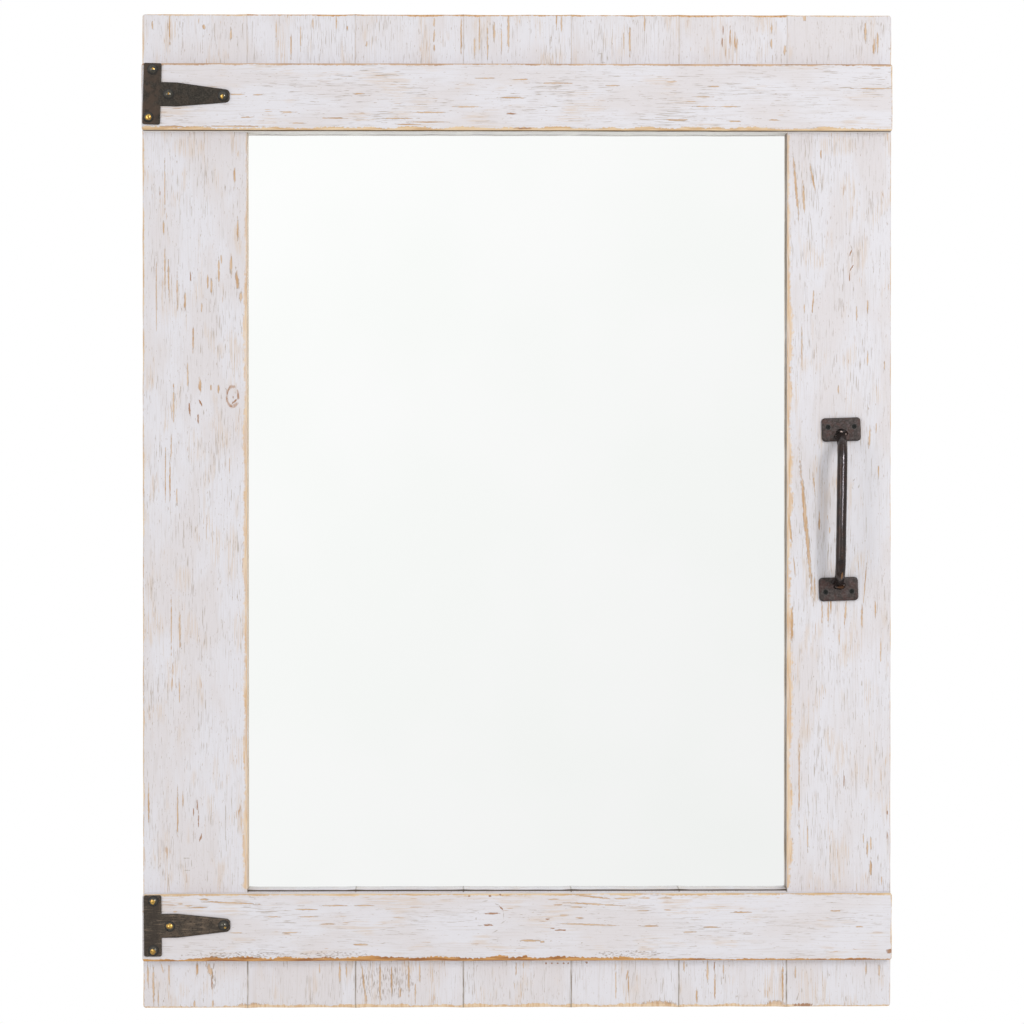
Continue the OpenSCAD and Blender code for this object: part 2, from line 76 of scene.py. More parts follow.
# T plates
LEAF_W = 14.5 * MM
LEAF_H = 50 * MM
PLATE_L = 70.5 * MM
PLATE_T = 1.6 * MM
STRAP_H = 19.5 * MM
STRAP_ROOT = 27.5 * MM
TIP_H = 10 * MM
TIP_R = 3.6 * MM
LEAF_R = 1.6 * MM
PLATE_RIM = 0.5 * MM
PLATE_ROW = 2.2 * MM
PLATE_DENT = 4 * MM
PLATE_DENT_DEPTH = 0.22 * MM
UPPER_TURN = math.radians(1.7)
LOWER_TURN = math.radians(-0.5)
PLATE_INSET = 1.7 * MM
UPPER_DROP = 0.4 * MM
LOWER_DROP = 1.0 * MM

# The T plates' leaves end here, where their straps begin
LEAF_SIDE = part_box("left_stile")[0].x + PLATE_INSET + LEAF_W

# Domed nails
NAIL_R = 4.3 * MM
NAIL_DOME = 2.6 * MM
NAIL_SHANK_R = 1.2 * MM
NAIL_L = 22 * MM
NAIL_POINT = 3 * MM
NAIL_RIM = 0.3 * MM
NAIL_SHOULDER = 0.5 * MM
NAIL_TOP_R = 0.4 * MM
NAIL_TIP_R = 0.2 * MM
NAIL_DENT = 2.4 * MM
NAIL_DENT_DEPTH = 0.2 * MM
NAIL_RINGS = 6
NAIL_TURN = 1.3

# Pull
GRIP_R = 4.25 * MM
GRIP_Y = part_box("pull_grip")[0].y + GRIP_R
LEG_SLOPE = math.radians(70)
BEND_R = 16 * MM
LEG_L = 32 * MM
BAR_ROWS = 10
LEG_ROWS = 8
GRIP_DENT = 8 * MM
GRIP_DENT_DEPTH = 0.2 * MM
GRIP_CLEAR = 0.3 * MM
FOOT_Z = 60.4 * MM
PULL_LEAN = math.radians(0.9)
GRIP_TILT = math.radians(-3)
# Lumps of weld at a foot: sideways and outward from the foot's middle, then half sizes, in mm
WELD = [
    (0.3, 3.2, Vector((5.3, 4.4, 3.0))),
    (-4.4, -0.6, Vector((1.9, 1.6, 2.2))),
    (4.2, 1.6, Vector((2.0, 2.6, 2.2))),
]
WELD_DENT = 2.2 * MM
FIX_SIZE = Vector((32, 2.5, 19.3)) * MM
FIX_R = 3 * MM
FIX_RIM = 0.8 * MM
FIX_ROW = 2 * MM
FIX_DENT = 3.5 * MM
FIX_DENT_DEPTH = 0.3 * MM
FIX_TURN = math.radians(-1.8)
PULL_SCREW_R = 2.8 * MM
PULL_SHANK_R = 1.5 * MM
PULL_DRIVE_R = 1.9 * MM

# Rubber bumpers
BUMPER_R = 6.35 * MM
BUMPER_SOFT = 1.1 * MM
BUMPER_DISH_R = 0.5 * MM

# Camera, a little to the left of the mirror's middle and looking straight at it
CAMERA_AT = Vector((-0.052, -3.124, 0.03))
CAMERA_AIM = Vector((-0.0044, BOARD_Y, -0.0003))
SENSOR = 36.0
PHOTO_PX = 1024
METRES_PER_PX = 0.8184 * MM

# Lamps: place, width, height and power
LAMPS = {
    "key": ((1.26, -2.3, 0.95), 1.0, 1.0, 8.2),
    "strip": ((1.22, -2.3, 0.62), 0.2, 1.3, 14.4),
    "fill": ((-1.8, -2.4, 0.2), 0.8, 1.6, 11.4),
}

# Room
FLOOR_Z = -1.0
FLOOR_HALF = 3.4
ROOM_LIGHT = 0.635
ROOM_MIDDLE = 0.945
ROOM_SLOPE = 0.35
ROOM_DARKEST = 0.85


def srgb(red, green, blue):
    """A colour as the eye reads it on a screen, turned into light."""
    def light(c):
        c /= 255
        return c / 12.92 if c <= 0.04045 else ((c + 0.055) / 1.055) ** 2.4

    return (light(red), light(green), light(blue), 1.0)


def shaded(colour, share):
    """A colour made lighter or darker."""
    return [c * share for c in colour[:3]] + [1.0]


# Modelling by hand


def object_mode():
    if bpy.context.object and bpy.context.object.mode != "OBJECT":
        bpy.ops.object.mode_set(mode="OBJECT")


def start_fresh():
    """Object mode with nothing selected, ready for a new piece."""
    object_mode()
    bpy.ops.object.select_all(action="DESELECT")


def only(piece):
    """Leaves that one piece selected and active, in object mode."""
    start_fresh()
    piece.select_set(True)
    bpy.context.view_layer.objects.active = piece


def edit(piece):
    """Goes into edit mode with nothing selected."""
    only(piece)
    bpy.ops.object.mode_set(mode="EDIT")
    bpy.ops.mesh.select_all(action="DESELECT")


def settle(piece):
    """Puts the place, turn and scale into the mesh, so that the origin is the shared one."""
    only(piece)
    bpy.ops.object.transform_apply(location=True, rotation=True, scale=True)
    return piece


def just_added(name):
    """The primitive that was just added, named and with its place in its mesh."""
    piece = bpy.context.object
    piece.name = piece.data.name = name
    return settle(piece)


def seat(piece, place, turn=0.0):
    """Moves a piece that was made round the origin to its place, turned clockwise from the front."""
    piece.location = place
    piece.rotation_euler = (0, turn, 0)
    return settle(piece)


def pick(piece, kind, test):
    """Selects in edit mode the vertices, edges or faces that pass the test."""
    bpy.ops.mesh.select_mode(type=kind)
    bpy.ops.mesh.select_all(action="DESELECT")
    mesh = bmesh.from_edit_mesh(piece.data)
    items = {"VERT": mesh.verts, "EDGE": mesh.edges, "FACE": mesh.faces}[kind]
    for item in items:
        if test(item):
            item.select_set(True)
    mesh.select_flush_mode()
    bmesh.update_edit_mesh(piece.data)


def eased(piece, test, offset, segments):
    """Bevels the edges that pass the test."""
    pick(piece, "EDGE", test)
    bpy.ops.mesh.bevel(offset=offset, segments=segments, affect="EDGES")


def drawn_out(x, y, z):
    """Extrudes what is selected."""
    bpy.ops.mesh.extrude_region_move(TRANSFORM_OT_translate={"value": (x, y, z)})


def cut_through(point, normal, **settings):
    """Cuts the whole of the piece in edit mode along a plane."""
    bpy.ops.mesh.select_all(action="SELECT")
    bpy.ops.mesh.bisect(plane_co=point, plane_no=normal, **settings)


def faces_outward():
    """Turns all faces of the piece in edit mode outwards."""
    bpy.ops.mesh.select_all(action="SELECT")
    bpy.ops.mesh.normals_make_consistent(inside=False)


def near(a, b):
    return abs(a - b) < 1e-5


def middle(edge):
    return (edge.verts[0].co + edge.verts[1].co) / 2


def runs_along(edge, axis):
    """Whether an edge runs along one axis."""
    run = edge.verts[1].co - edge.verts[0].co
    return abs(run[axis]) > 0.999 * run.length


def is_rim(edge, front_y):
    """Whether an edge lies round the border of the front face."""
    if not all(near(v.co.y, front_y) for v in edge.verts):
        return False
    return any(abs(f.normal.y) < 0.1 for f in edge.link_faces)


def block(name, low, high):
    """A box between two corners."""
    start_fresh()
    bpy.ops.mesh.primitive_cube_add(size=1, location=(low + high) / 2)
    bpy.context.object.scale = high - low
    return just_added(name)


def modified(piece, kind, **settings):
    """Adds a modifier and applies it."""
    only(piece)
    modifier = piece.modifiers.new(kind.lower(), kind)
    for key, value in settings.items():
        setattr(modifier, key, value)
    bpy.ops.object.modifier_apply(modifier=modifier.name)
    return piece


def smooth(piece, degrees=35):
    only(piece)
    bpy.ops.object.shade_smooth_by_angle(angle=math.radians(degrees))
    return piece


def joined(name, pieces):
    """Several pieces as one."""
    only(pieces[0])
    for piece in pieces:
        piece.select_set(True)
    if len(pieces) > 1:
        bpy.ops.object.join()
    bpy.context.object.name = bpy.context.object.data.name = name
    return bpy.context.object


def copy_of(piece, name):
    twin = piece.copy()
    twin.data = piece.data.copy()
    twin.name = twin.data.name = name
    bpy.context.scene.collection.objects.link(twin)
    return twin


def remove(piece):
    bpy.data.objects.remove(piece, do_unlink=True)


def in_rows(piece, pitch):
    """Cuts a piece at even steps along X and along Z, so that it has points to move."""
    for axis in (0, 2):
        edit(piece)
        places = [v.co[axis] for v in bmesh.from_edit_mesh(piece.data).verts]
        low, high = min(places), max(places)
        steps = max(2, round((high - low) / pitch))
        normal, point = Vector(), Vector()
        normal[axis] = 1
        for i in range(1, steps):
            point[axis] = low + (high - low) * i / steps
            cut_through(point, normal)
    object_mode()


def hammered(piece, size, depth, test=None):
    """Presses soft hollows into a piece, or into those of its vertices that pass the test."""
    dents = bpy.data.textures.new(piece.name + "_dents", "CLOUDS")
    dents.noise_scale = size
    group = piece.vertex_groups.new(name="dented")
    group.add([v.index for v in piece.data.vertices if test is None or test(v.co)], 1.0, "REPLACE")
    modified(piece, "DISPLACE", texture=dents, texture_coords="LOCAL", direction="NORMAL",
             mid_level=1.0, strength=depth, vertex_group="dented")
    piece.vertex_groups.clear()
    return piece


def turned_on_y(name, x, z, profile, sides=24):
    """A solid turned round a line along Y. The profile lists radius and y, and its ends are closed."""
    start_fresh()
    radius, y = profile[0]
    bpy.ops.mesh.primitive_circle_add(vertices=sides, radius=radius, fill_type="NGON",
                                      location=(x, y, z), rotation=(math.pi / 2, 0, 0))
    piece = just_added(name)
    bpy.ops.object.mode_set(mode="EDIT")
    bpy.ops.mesh.select_mode(type="FACE")
    bpy.ops.mesh.select_all(action="SELECT")
    for next_radius, next_y in profile[1:]:
        drawn_out(0, next_y - y, 0)
        grow = next_radius / radius
        bpy.ops.transform.resize(value=(grow, 1, grow), center_override=(x, next_y, z))
        radius, y = next_radius, next_y
    faces_outward()
    object_mode()
    return piece


def cut_from(piece, cutters):
    """Takes the cutters out of a piece, then deletes them."""
    tool = joined("cutter", cutters)
    modified(piece, "BOOLEAN", operation="DIFFERENCE", solver="EXACT", object=tool)
    remove(tool)


def solid_boxes(node):
    """Lowest and highest corner of each separate solid in a node of the frame."""
    mesh = bmesh.new()
    mesh.from_mesh(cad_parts[node].data)
    bmesh.ops.remove_doubles(mesh, verts=mesh.verts, dist=1e-6)
    left = set(mesh.verts)
    boxes = []
    while left:
        todo = [left.pop()]
        corners = []
        while todo:
            vertex = todo.pop()
            corners.append(vertex.co.copy())
            for link in vertex.link_edges:
                other = link.other_vert(vertex)
                if other in left:
                    left.discard(other)
                    todo.append(other)
        low = Vector([min(c[i] for c in corners) for i in range(3)])
        high = Vector([max(c[i] for c in corners) for i in range(3)])
        boxes.append((low, high))
    mesh.free()
    return sorted(boxes, key=lambda b: (round(b[0].x, 4), round(b[0].z, 4)))


def centres(node):
    """The place (x, z) of each screw, nail or bumper in a node, by columns and each from the top."""
    places = [((low.x + high.x) / 2, (low.z + high.z) / 2) for low, high in solid_boxes(node)]
    return sorted(places, key=lambda p: (round(p[0] / (10 * MM)), -p[1]))


def stand_for(piece, node, body):
    """Lets a finished piece take the place of a node and move with its body."""
    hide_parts(node)
    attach(piece, body)


# Planks


def plank(node, joints=(), outer_corners=()):
    """A board or rail with eased and slightly wavy front edges, crisp where a neighbour meets it."""
    low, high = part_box(node)
    front = low.y
    piece = block(node + "_planed", low, high)
    edit(piece)
    if outer_corners:
        ends = [(low.x if sx < 0 else high.x, low.z if sz < 0 else high.z) for sx, sz in outer_corners]
        eased(piece, lambda e: runs_along(e, 1)
              and any(near(middle(e).x, x) and near(middle(e).z, z) for x, z in ends), CORNER, 3)
    joint_x = [low.x if side < 0 else high.x for side in joints]

    def in_joint(edge):
        return any(near(middle(edge).x, x) for x in joint_x)

    eased(piece, lambda e: is_rim(e, front) and not in_joint(e), OPEN_ARRIS, 3)
    if joint_x:
        eased(piece, lambda e: is_rim(e, front) and in_joint(e), JOINT_ARRIS, 2)
    object_mode()
    in_rows(piece, ROW)
    reach = 1.4 * OPEN_ARRIS

    def near_open_edge(co):
        beside_mirror = OPENING_FOOT < co.z < OPENING_TOP
        if not beside_mirror and any(abs(co.x - x) < 2 * JOINT_ARRIS for x in joint_x):
            return False
        sides = [co.z - low.z, high.z - co.z]
        if -1 not in joints or beside_mirror:
            sides.append(co.x - low.x)
        if 1 not in joints or beside_mirror:
            sides.append(high.x - co.x)
        return co.y < front + reach and min(sides) < reach

    return hammered(piece, WAVE_LENGTH, WAVE, near_open_edge)


def rebate_cutter():
    """The recess round the back of the opening, a little larger than the glass."""
    low, high = GLASS
    gap = Vector((GLASS_GAP, 0, GLASS_GAP))
    return block("rebate", low - gap, Vector((high.x, BACK_Y + MM, high.z)) + gap)


def screw_hole(low, high):
    """Cutter for a countersunk screw from the back: its cone, and the hole for its shank."""
    head = (high.x - low.x) / 2
    return turned_on_y("screw_hole", (low.x + high.x) / 2, (low.z + high.z) / 2, [
        (head + PLAY, BACK_Y + MM),
        (head + PLAY, BACK_Y),
        (RAIL_SCREW_SHANK + PLAY, BACK_Y - (head - RAIL_SCREW_SHANK)),
        (RAIL_SCREW_SHANK + PLAY, BOARD_Y - MM),
    ])


def build_planks():
    """All fourteen planks, by the name of the node that each one stands for."""
    screws = solid_boxes("upper_rail_screws") + solid_boxes("lower_rail_screws")
    left_corners = [(-1, -1), (-1, 1)]
    right_corners = [(1, -1), (1, 1)]
    short_boards = [f"{end}_board_{i}" for end in ("upper", "lower") for i in range(1, 6)]
    planks = {
        "left_stile": plank("left_stile", joints=(1,), outer_corners=left_corners),
        "right_stile": plank("right_stile", joints=(-1,), outer_corners=right_corners),
        "upper_rail": plank("upper_rail", outer_corners=left_corners + right_corners),
        "lower_rail": plank("lower_rail", outer_corners=left_corners + right_corners),
    }
    for node in short_boards:
        planks[node] = plank(node, joints=(-1, 1))
    for node, piece in planks.items():
        if not node.endswith("rail"):
            low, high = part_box(node)
            own = [s for s in screws if low.x < s[0].x < high.x and low.z < s[0].z < high.z]
            cut_from(piece, [rebate_cutter()] + [screw_hole(*s) for s in own])
        smooth(piece)
        stand_for(piece, node, "door")
    return planks


# Iron


def holed_plate(piece, node, places, hole):
    """Gives an iron plate its holes, turned from their profile, and puts it in place of its node."""
    cut_from(piece, [turned_on_y("hole", x, z, hole) for x, z in places])
    stand_for(smooth(piece, 30), node, "door")
    return piece


def build_t_plate(node, rail, turn, drop):
    """A plate cut from one sheet: the leaf, and the strap drawn out of it to its round tip."""
    low = Vector((-LEAF_W / 2, -PLATE_T, -LEAF_H / 2))
    high = Vector((LEAF_W / 2, 0, LEAF_H / 2))
    piece = block(node + "_forged", low, high)
    edit(piece)
    for side in (-1, 1):
        cut_through((0, 0, side * STRAP_H / 2), (0, 0, 1))
    pick(piece, "FACE", lambda f: f.normal.x > 0.9 and abs(f.calc_center_median().z) < STRAP_H / 2)
    drawn_out(STRAP_ROOT - LEAF_W, 0, 0)
    drawn_out(PLATE_L - STRAP_ROOT, 0, 0)
    bpy.ops.transform.resize(value=(1, 1, TIP_H / STRAP_H), center_override=(0, 0, 0))
    tip_x = PLATE_L - LEAF_W / 2
    eased(piece, lambda e: runs_along(e, 1) and near(middle(e).x, tip_x), TIP_R * 0.85, 5)
    eased(piece, lambda e: runs_along(e, 1) and near(abs(middle(e).z), LEAF_H / 2), LEAF_R, 4)
    eased(piece, lambda e: is_rim(e, -PLATE_T), PLATE_RIM, 3)
    object_mode()
    in_rows(piece, PLATE_ROW)
    rail_low, rail_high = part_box(rail)
    place = (rail_low.x + PLATE_INSET + LEAF_W / 2, RAIL_Y, rail_high.z - drop - LEAF_H / 2)
    seat(piece, place, turn)
    hammered(piece, PLATE_DENT, PLATE_DENT_DEPTH, lambda co: co.y < PLATE_Y + FACE_SKIN)
    through = [(NAIL_SHANK_R + PLAY, RAIL_Y + MM), (NAIL_SHANK_R + PLAY, PLATE_Y - MM)]
    return holed_plate(piece, node, centres(node.replace("plate", "nails")), through)


def build_nails(node):
    """Four hand-driven nails with domed heads and pointed shanks."""
    dome_r = (NAIL_R ** 2 + NAIL_DOME ** 2) / (2 * NAIL_DOME)
    widest = math.asin(NAIL_R / dome_r)
    profile = [(NAIL_TIP_R, NAIL_L), (NAIL_SHANK_R, NAIL_L - NAIL_POINT), (NAIL_SHANK_R, 0)]
    profile += [(NAIL_R, 0), (NAIL_R, -NAIL_RIM)]
    for i in range(1, NAIL_RINGS):
        slope = widest * (1 - i / NAIL_RINGS)
        height = NAIL_DOME - dome_r + dome_r * math.cos(slope)
        profile.append((dome_r * math.sin(slope), -max(height, NAIL_SHOULDER)))
    profile.append((NAIL_TOP_R, -NAIL_DOME))
    nail = turned_on_y("nail", 0, 0, profile)
    copies = []
    for i, (x, z) in enumerate(centres(node)):
        copies.append(seat(copy_of(nail, f"{node}_{i}"), (x, PLATE_Y, z), i * NAIL_TURN))
    remove(nail)
    group = joined(node + "_domed", copies)
    hammered(group, NAIL_DENT, NAIL_DENT_DEPTH, lambda co: co.y < PLATE_Y - 2 * NAIL_RIM)
    stand_for(smooth(group, 40), node, "door")
    return group


def pull_middle():
    """Half way between the middles of the two fixing plates."""
    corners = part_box("pull_upper_plate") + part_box("pull_lower_plate")
    return Vector((sum(c.x for c in corners) / 4, 0, sum(c.z for c in corners) / 4))


def flat_on_plates(piece):
    """Cuts off what would lie inside the fixing plates."""
    edit(piece)
    cut_through((0, FIX_Y, 0), (0, 1, 0), clear_outer=True, use_fill=True)
    object_mode()


def weld(side, aside, out, half):
    """One lump of weld at a foot of the bar."""
    start_fresh()
    bpy.ops.mesh.primitive_uv_sphere_add(segments=32, ring_count=18, radius=1,
                                         location=(aside * MM, FIX_Y, side * (FOOT_Z + out * MM)))
    bpy.context.object.scale = half * MM
    bead = just_added("weld")
    hammered(bead, WELD_DENT, 0.5 * min(half) * MM)
    flat_on_plates(bead)
    return bead


def build_grip():
    """The round bar: straight, bent to both ends, tilted aside a little, and welded to its plates."""
    bend_z = FOOT_Z - (FIX_Y - GRIP_Y) / math.tan(LEG_SLOPE) - BEND_R * math.tan(LEG_SLOPE / 2)
    start_fresh()
    bpy.ops.mesh.primitive_circle_add(vertices=32, radius=GRIP_R, fill_type="NOTHING",
                                      location=(0, GRIP_Y, 0))
    piece = just_added("pull_grip_forged")
    bpy.ops.object.mode_set(mode="EDIT")
    bpy.ops.mesh.select_mode(type="EDGE")
    bpy.ops.mesh.select_all(action="SELECT")
    for _ in range(BAR_ROWS):
        drawn_out(0, 0, bend_z / BAR_ROWS)
    bpy.ops.mesh.spin(steps=9, angle=LEG_SLOPE, center=(0, GRIP_Y + BEND_R, bend_z), axis=(1, 0, 0))
    for _ in range(LEG_ROWS):
        drawn_out(0, LEG_L / LEG_ROWS * math.sin(LEG_SLOPE), LEG_L / LEG_ROWS * math.cos(LEG_SLOPE))
    bpy.ops.mesh.select_all(action="SELECT")
    bpy.ops.mesh.remove_doubles(threshold=1e-6)
    object_mode()
    piece.location = (FIX_Y * math.sin(GRIP_TILT), FIX_Y * (1 - math.cos(GRIP_TILT)), 0)
    piece.rotation_euler = (0, 0, GRIP_TILT)
    settle(piece)
    flat_on_plates(piece)
    modified(piece, "MIRROR", use_axis=(False, False, True), use_clip=True, merge_threshold=1e-5)
    edit(piece)
    faces_outward()
    object_mode()
    for side in (-1, 1):
        for lump in WELD:
            bead = weld(side, *lump)
            modified(piece, "BOOLEAN", operation="UNION", solver="EXACT", object=bead)
            remove(bead)
    hammered(piece, GRIP_DENT, GRIP_DENT_DEPTH, lambda co: co.y < FIX_Y - GRIP_CLEAR)
    seat(piece, pull_middle(), PULL_LEAN)
    stand_for(smooth(piece, 50), "pull_grip", "door")
    return piece


def build_fixing_plate(node):
    """A rounded plate with a softened rim and two countersunk holes."""
    half = FIX_SIZE / 2
    piece = block(node + "_forged", Vector((-half.x, -FIX_SIZE.y, -half.z)), Vector((half.x, 0, half.z)))
    edit(piece)
    eased(piece, lambda e: runs_along(e, 1), FIX_R, 5)
    eased(piece, lambda e: is_rim(e, -FIX_SIZE.y), FIX_RIM, 4)
    object_mode()
    in_rows(piece, FIX_ROW)
    low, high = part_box(node)
    place = (low + high) / 2
    seat(piece, (place.x, high.y, place.z), FIX_TURN)
    hammered(piece, FIX_DENT, FIX_DENT_DEPTH, lambda co: co.y < FIX_Y + FACE_SKIN)
    sunk = PULL_SCREW_R - PULL_SHANK_R
    hole = [
        (PULL_SCREW_R + PLAY, FIX_Y - MM),
        (PULL_SCREW_R + PLAY, FIX_Y),
        (PULL_SHANK_R + PLAY, FIX_Y + sunk),
        (PULL_SHANK_R + PLAY, BOARD_Y + MM),
    ]
    places = [(x, z) for x, z in centres("pull_screws") if low.z < z < high.z]
    return holed_plate(piece, node, places, hole)


# The back


def build_bumpers():
    """Four round rubber feet with a soft rim and a shallow dish in the face."""
    soft = BUMPER_SOFT
    profile = [(BUMPER_R, BACK_Y), (BUMPER_R, -soft * 1.8), (BUMPER_R - 0.3 * soft, -0.7 * soft),
               (BUMPER_R - soft, 0), (BUMPER_R - 2.4 * soft, 0),
               (BUMPER_R - 3 * soft, -0.4 * soft), (BUMPER_DISH_R, -0.4 * soft)]
    bumper = turned_on_y("bumper", 0, 0, profile, sides=40)
    copies = []
    for i, (x, z) in enumerate(centres("bumpers")):
        copies.append(seat(copy_of(bumper, f"bumper_{i}"), (x, 0, z)))
    remove(bumper)
    group = joined("bumpers_moulded", copies)
    stand_for(smooth(group, 40), "bumpers", "door")
    return group


# Finishes


# A spot's rim lies at a third of its value, and it reaches through the whole depth
SPOT_REACH = 0.75
SPOT_RIM = 1 / 3
ENDLESS = 1e6


class Finish:
    """A finish under work: its shader, the place on the object in millimetres, and ways to mix."""

    def __init__(self, name, roughness, metallic=0.0):
        self.material = bpy.data.materials.new(name)
        self.material.use_nodes = True
        self.nodes = self.material.node_tree.nodes
        self.links = self.material.node_tree.links
        self.shader = self.nodes["Principled BSDF"]
        self.shader.inputs["Roughness"].default_value = roughness
        self.shader.inputs["Metallic"].default_value = metallic
        scale = self.nodes.new("ShaderNodeVectorMath")
        scale.operation = "SCALE"
        scale.inputs["Scale"].default_value = 1 / MM
        self.links.new(self.nodes.new("ShaderNodeTexCoord").outputs["Object"], scale.inputs[0])
        self.mm = scale.outputs[0]
        split = self.nodes.new("ShaderNodeSeparateXYZ")
        self.links.new(self.mm, split.inputs[0])
        self.x, self.y, self.z = split.outputs

    def feed(self, socket, value):
        """Links a value made by a node, or sets a plain one."""
        if isinstance(value, bpy.types.NodeSocket):
            self.links.new(value, socket)
        else:
            socket.default_value = value

    def math(self, operation, a, b):
        node = self.nodes.new("ShaderNodeMath")
        node.operation = operation
        self.feed(node.inputs[0], a)
        self.feed(node.inputs[1], b)
        return node.outputs[0]

    def plus(self, a, b):
        return self.math("ADD", a, b)

    def minus(self, a, b):
        return self.math("SUBTRACT", a, b)

    def times(self, first, *others):
        for value in others:
            first = self.math("MULTIPLY", first, value)
        return first

    def less(self, value, share=1.0):
        """1 less a share of the value."""
        return self.minus(1.0, self.times(value, share))

    def at_least(self, least, value):
        """Runs from the least up to 1 as the value goes from 0 to 1."""
        return self.plus(least, self.times(value, 1 - least))

    def most(self, values):
        """The greatest of several values."""
        best = values[0]
        for value in values[1:]:
            best = self.math("MAXIMUM", best, value)
        return best

    def step(self, value, low, high):
        """0 up to low, 1 from high on, and smooth between."""
        node = self.nodes.new("ShaderNodeMapRange")
        node.interpolation_type = "SMOOTHSTEP"
        self.feed(node.inputs["Value"], value)
        node.inputs["From Min"].default_value = low
        node.inputs["From Max"].default_value = high
        return node.outputs[0]

    def mix(self, amount, first, second):
        """From the first colour to the second."""
        node = self.nodes.new("ShaderNodeMix")
        node.data_type = "RGBA"
        self.feed(node.inputs[0], amount)
        self.feed(node.inputs[6], first)
        self.feed(node.inputs[7], second)
        return node.outputs[2]

    def noise(self, size, shift=0.0, detail=2.0):
        """Soft noise whose blots have that size along X, Y and Z in millimetres."""
        place = self.nodes.new("ShaderNodeMapping")
        self.links.new(self.mm, place.inputs["Vector"])
        place.inputs["Location"].default_value = (shift, shift * 0.7, -shift)
        place.inputs["Scale"].default_value = [1 / s for s in size]
        node = self.nodes.new("ShaderNodeTexNoise")
        self.links.new(place.outputs[0], node.inputs["Vector"])
        node.inputs["Scale"].default_value = 1.0
        node.inputs["Detail"].default_value = detail
        return node.outputs["Fac"]

    def spot(self, x, z, width, height, turn=0.0):
        """1 in the middle of an oval on the front, falling to 0 at half as far again as its rim."""
        place = self.nodes.new("ShaderNodeMapping")
        place.vector_type = "TEXTURE"
        self.links.new(self.mm, place.inputs["Vector"])
        place.inputs["Location"].default_value = (x, 0, z)
        place.inputs["Rotation"].default_value = (0, turn, 0)
        place.inputs["Scale"].default_value = (width * SPOT_REACH, ENDLESS, height * SPOT_REACH)
        node = self.nodes.new("ShaderNodeTexGradient")
        node.gradient_type = "SPHERICAL"
        self.links.new(place.outputs[0], node.inputs["Vector"])
        return node.outputs["Fac"]

    def finish(self, colour, roughness=None, height=None):
        """Feeds the shader, with the height of the surface in millimetres as bump."""
        self.links.new(colour, self.shader.inputs["Base Color"])
        if roughness is not None:
            self.links.new(roughness, self.shader.inputs["Roughness"])
        if height is not None:
            bump = self.nodes.new("ShaderNodeBump")
            bump.inputs["Distance"].default_value = MM
            self.links.new(height, bump.inputs["Height"])
            self.links.new(bump.outputs[0], self.shader.inputs["Normal"])
        return self.material


def cover(piece, material):
    """Gives a piece that one material."""
    piece.data.materials.clear()
    piece.data.materials.append(material)
    for face in piece.data.polygons:
        face.material_index = 0
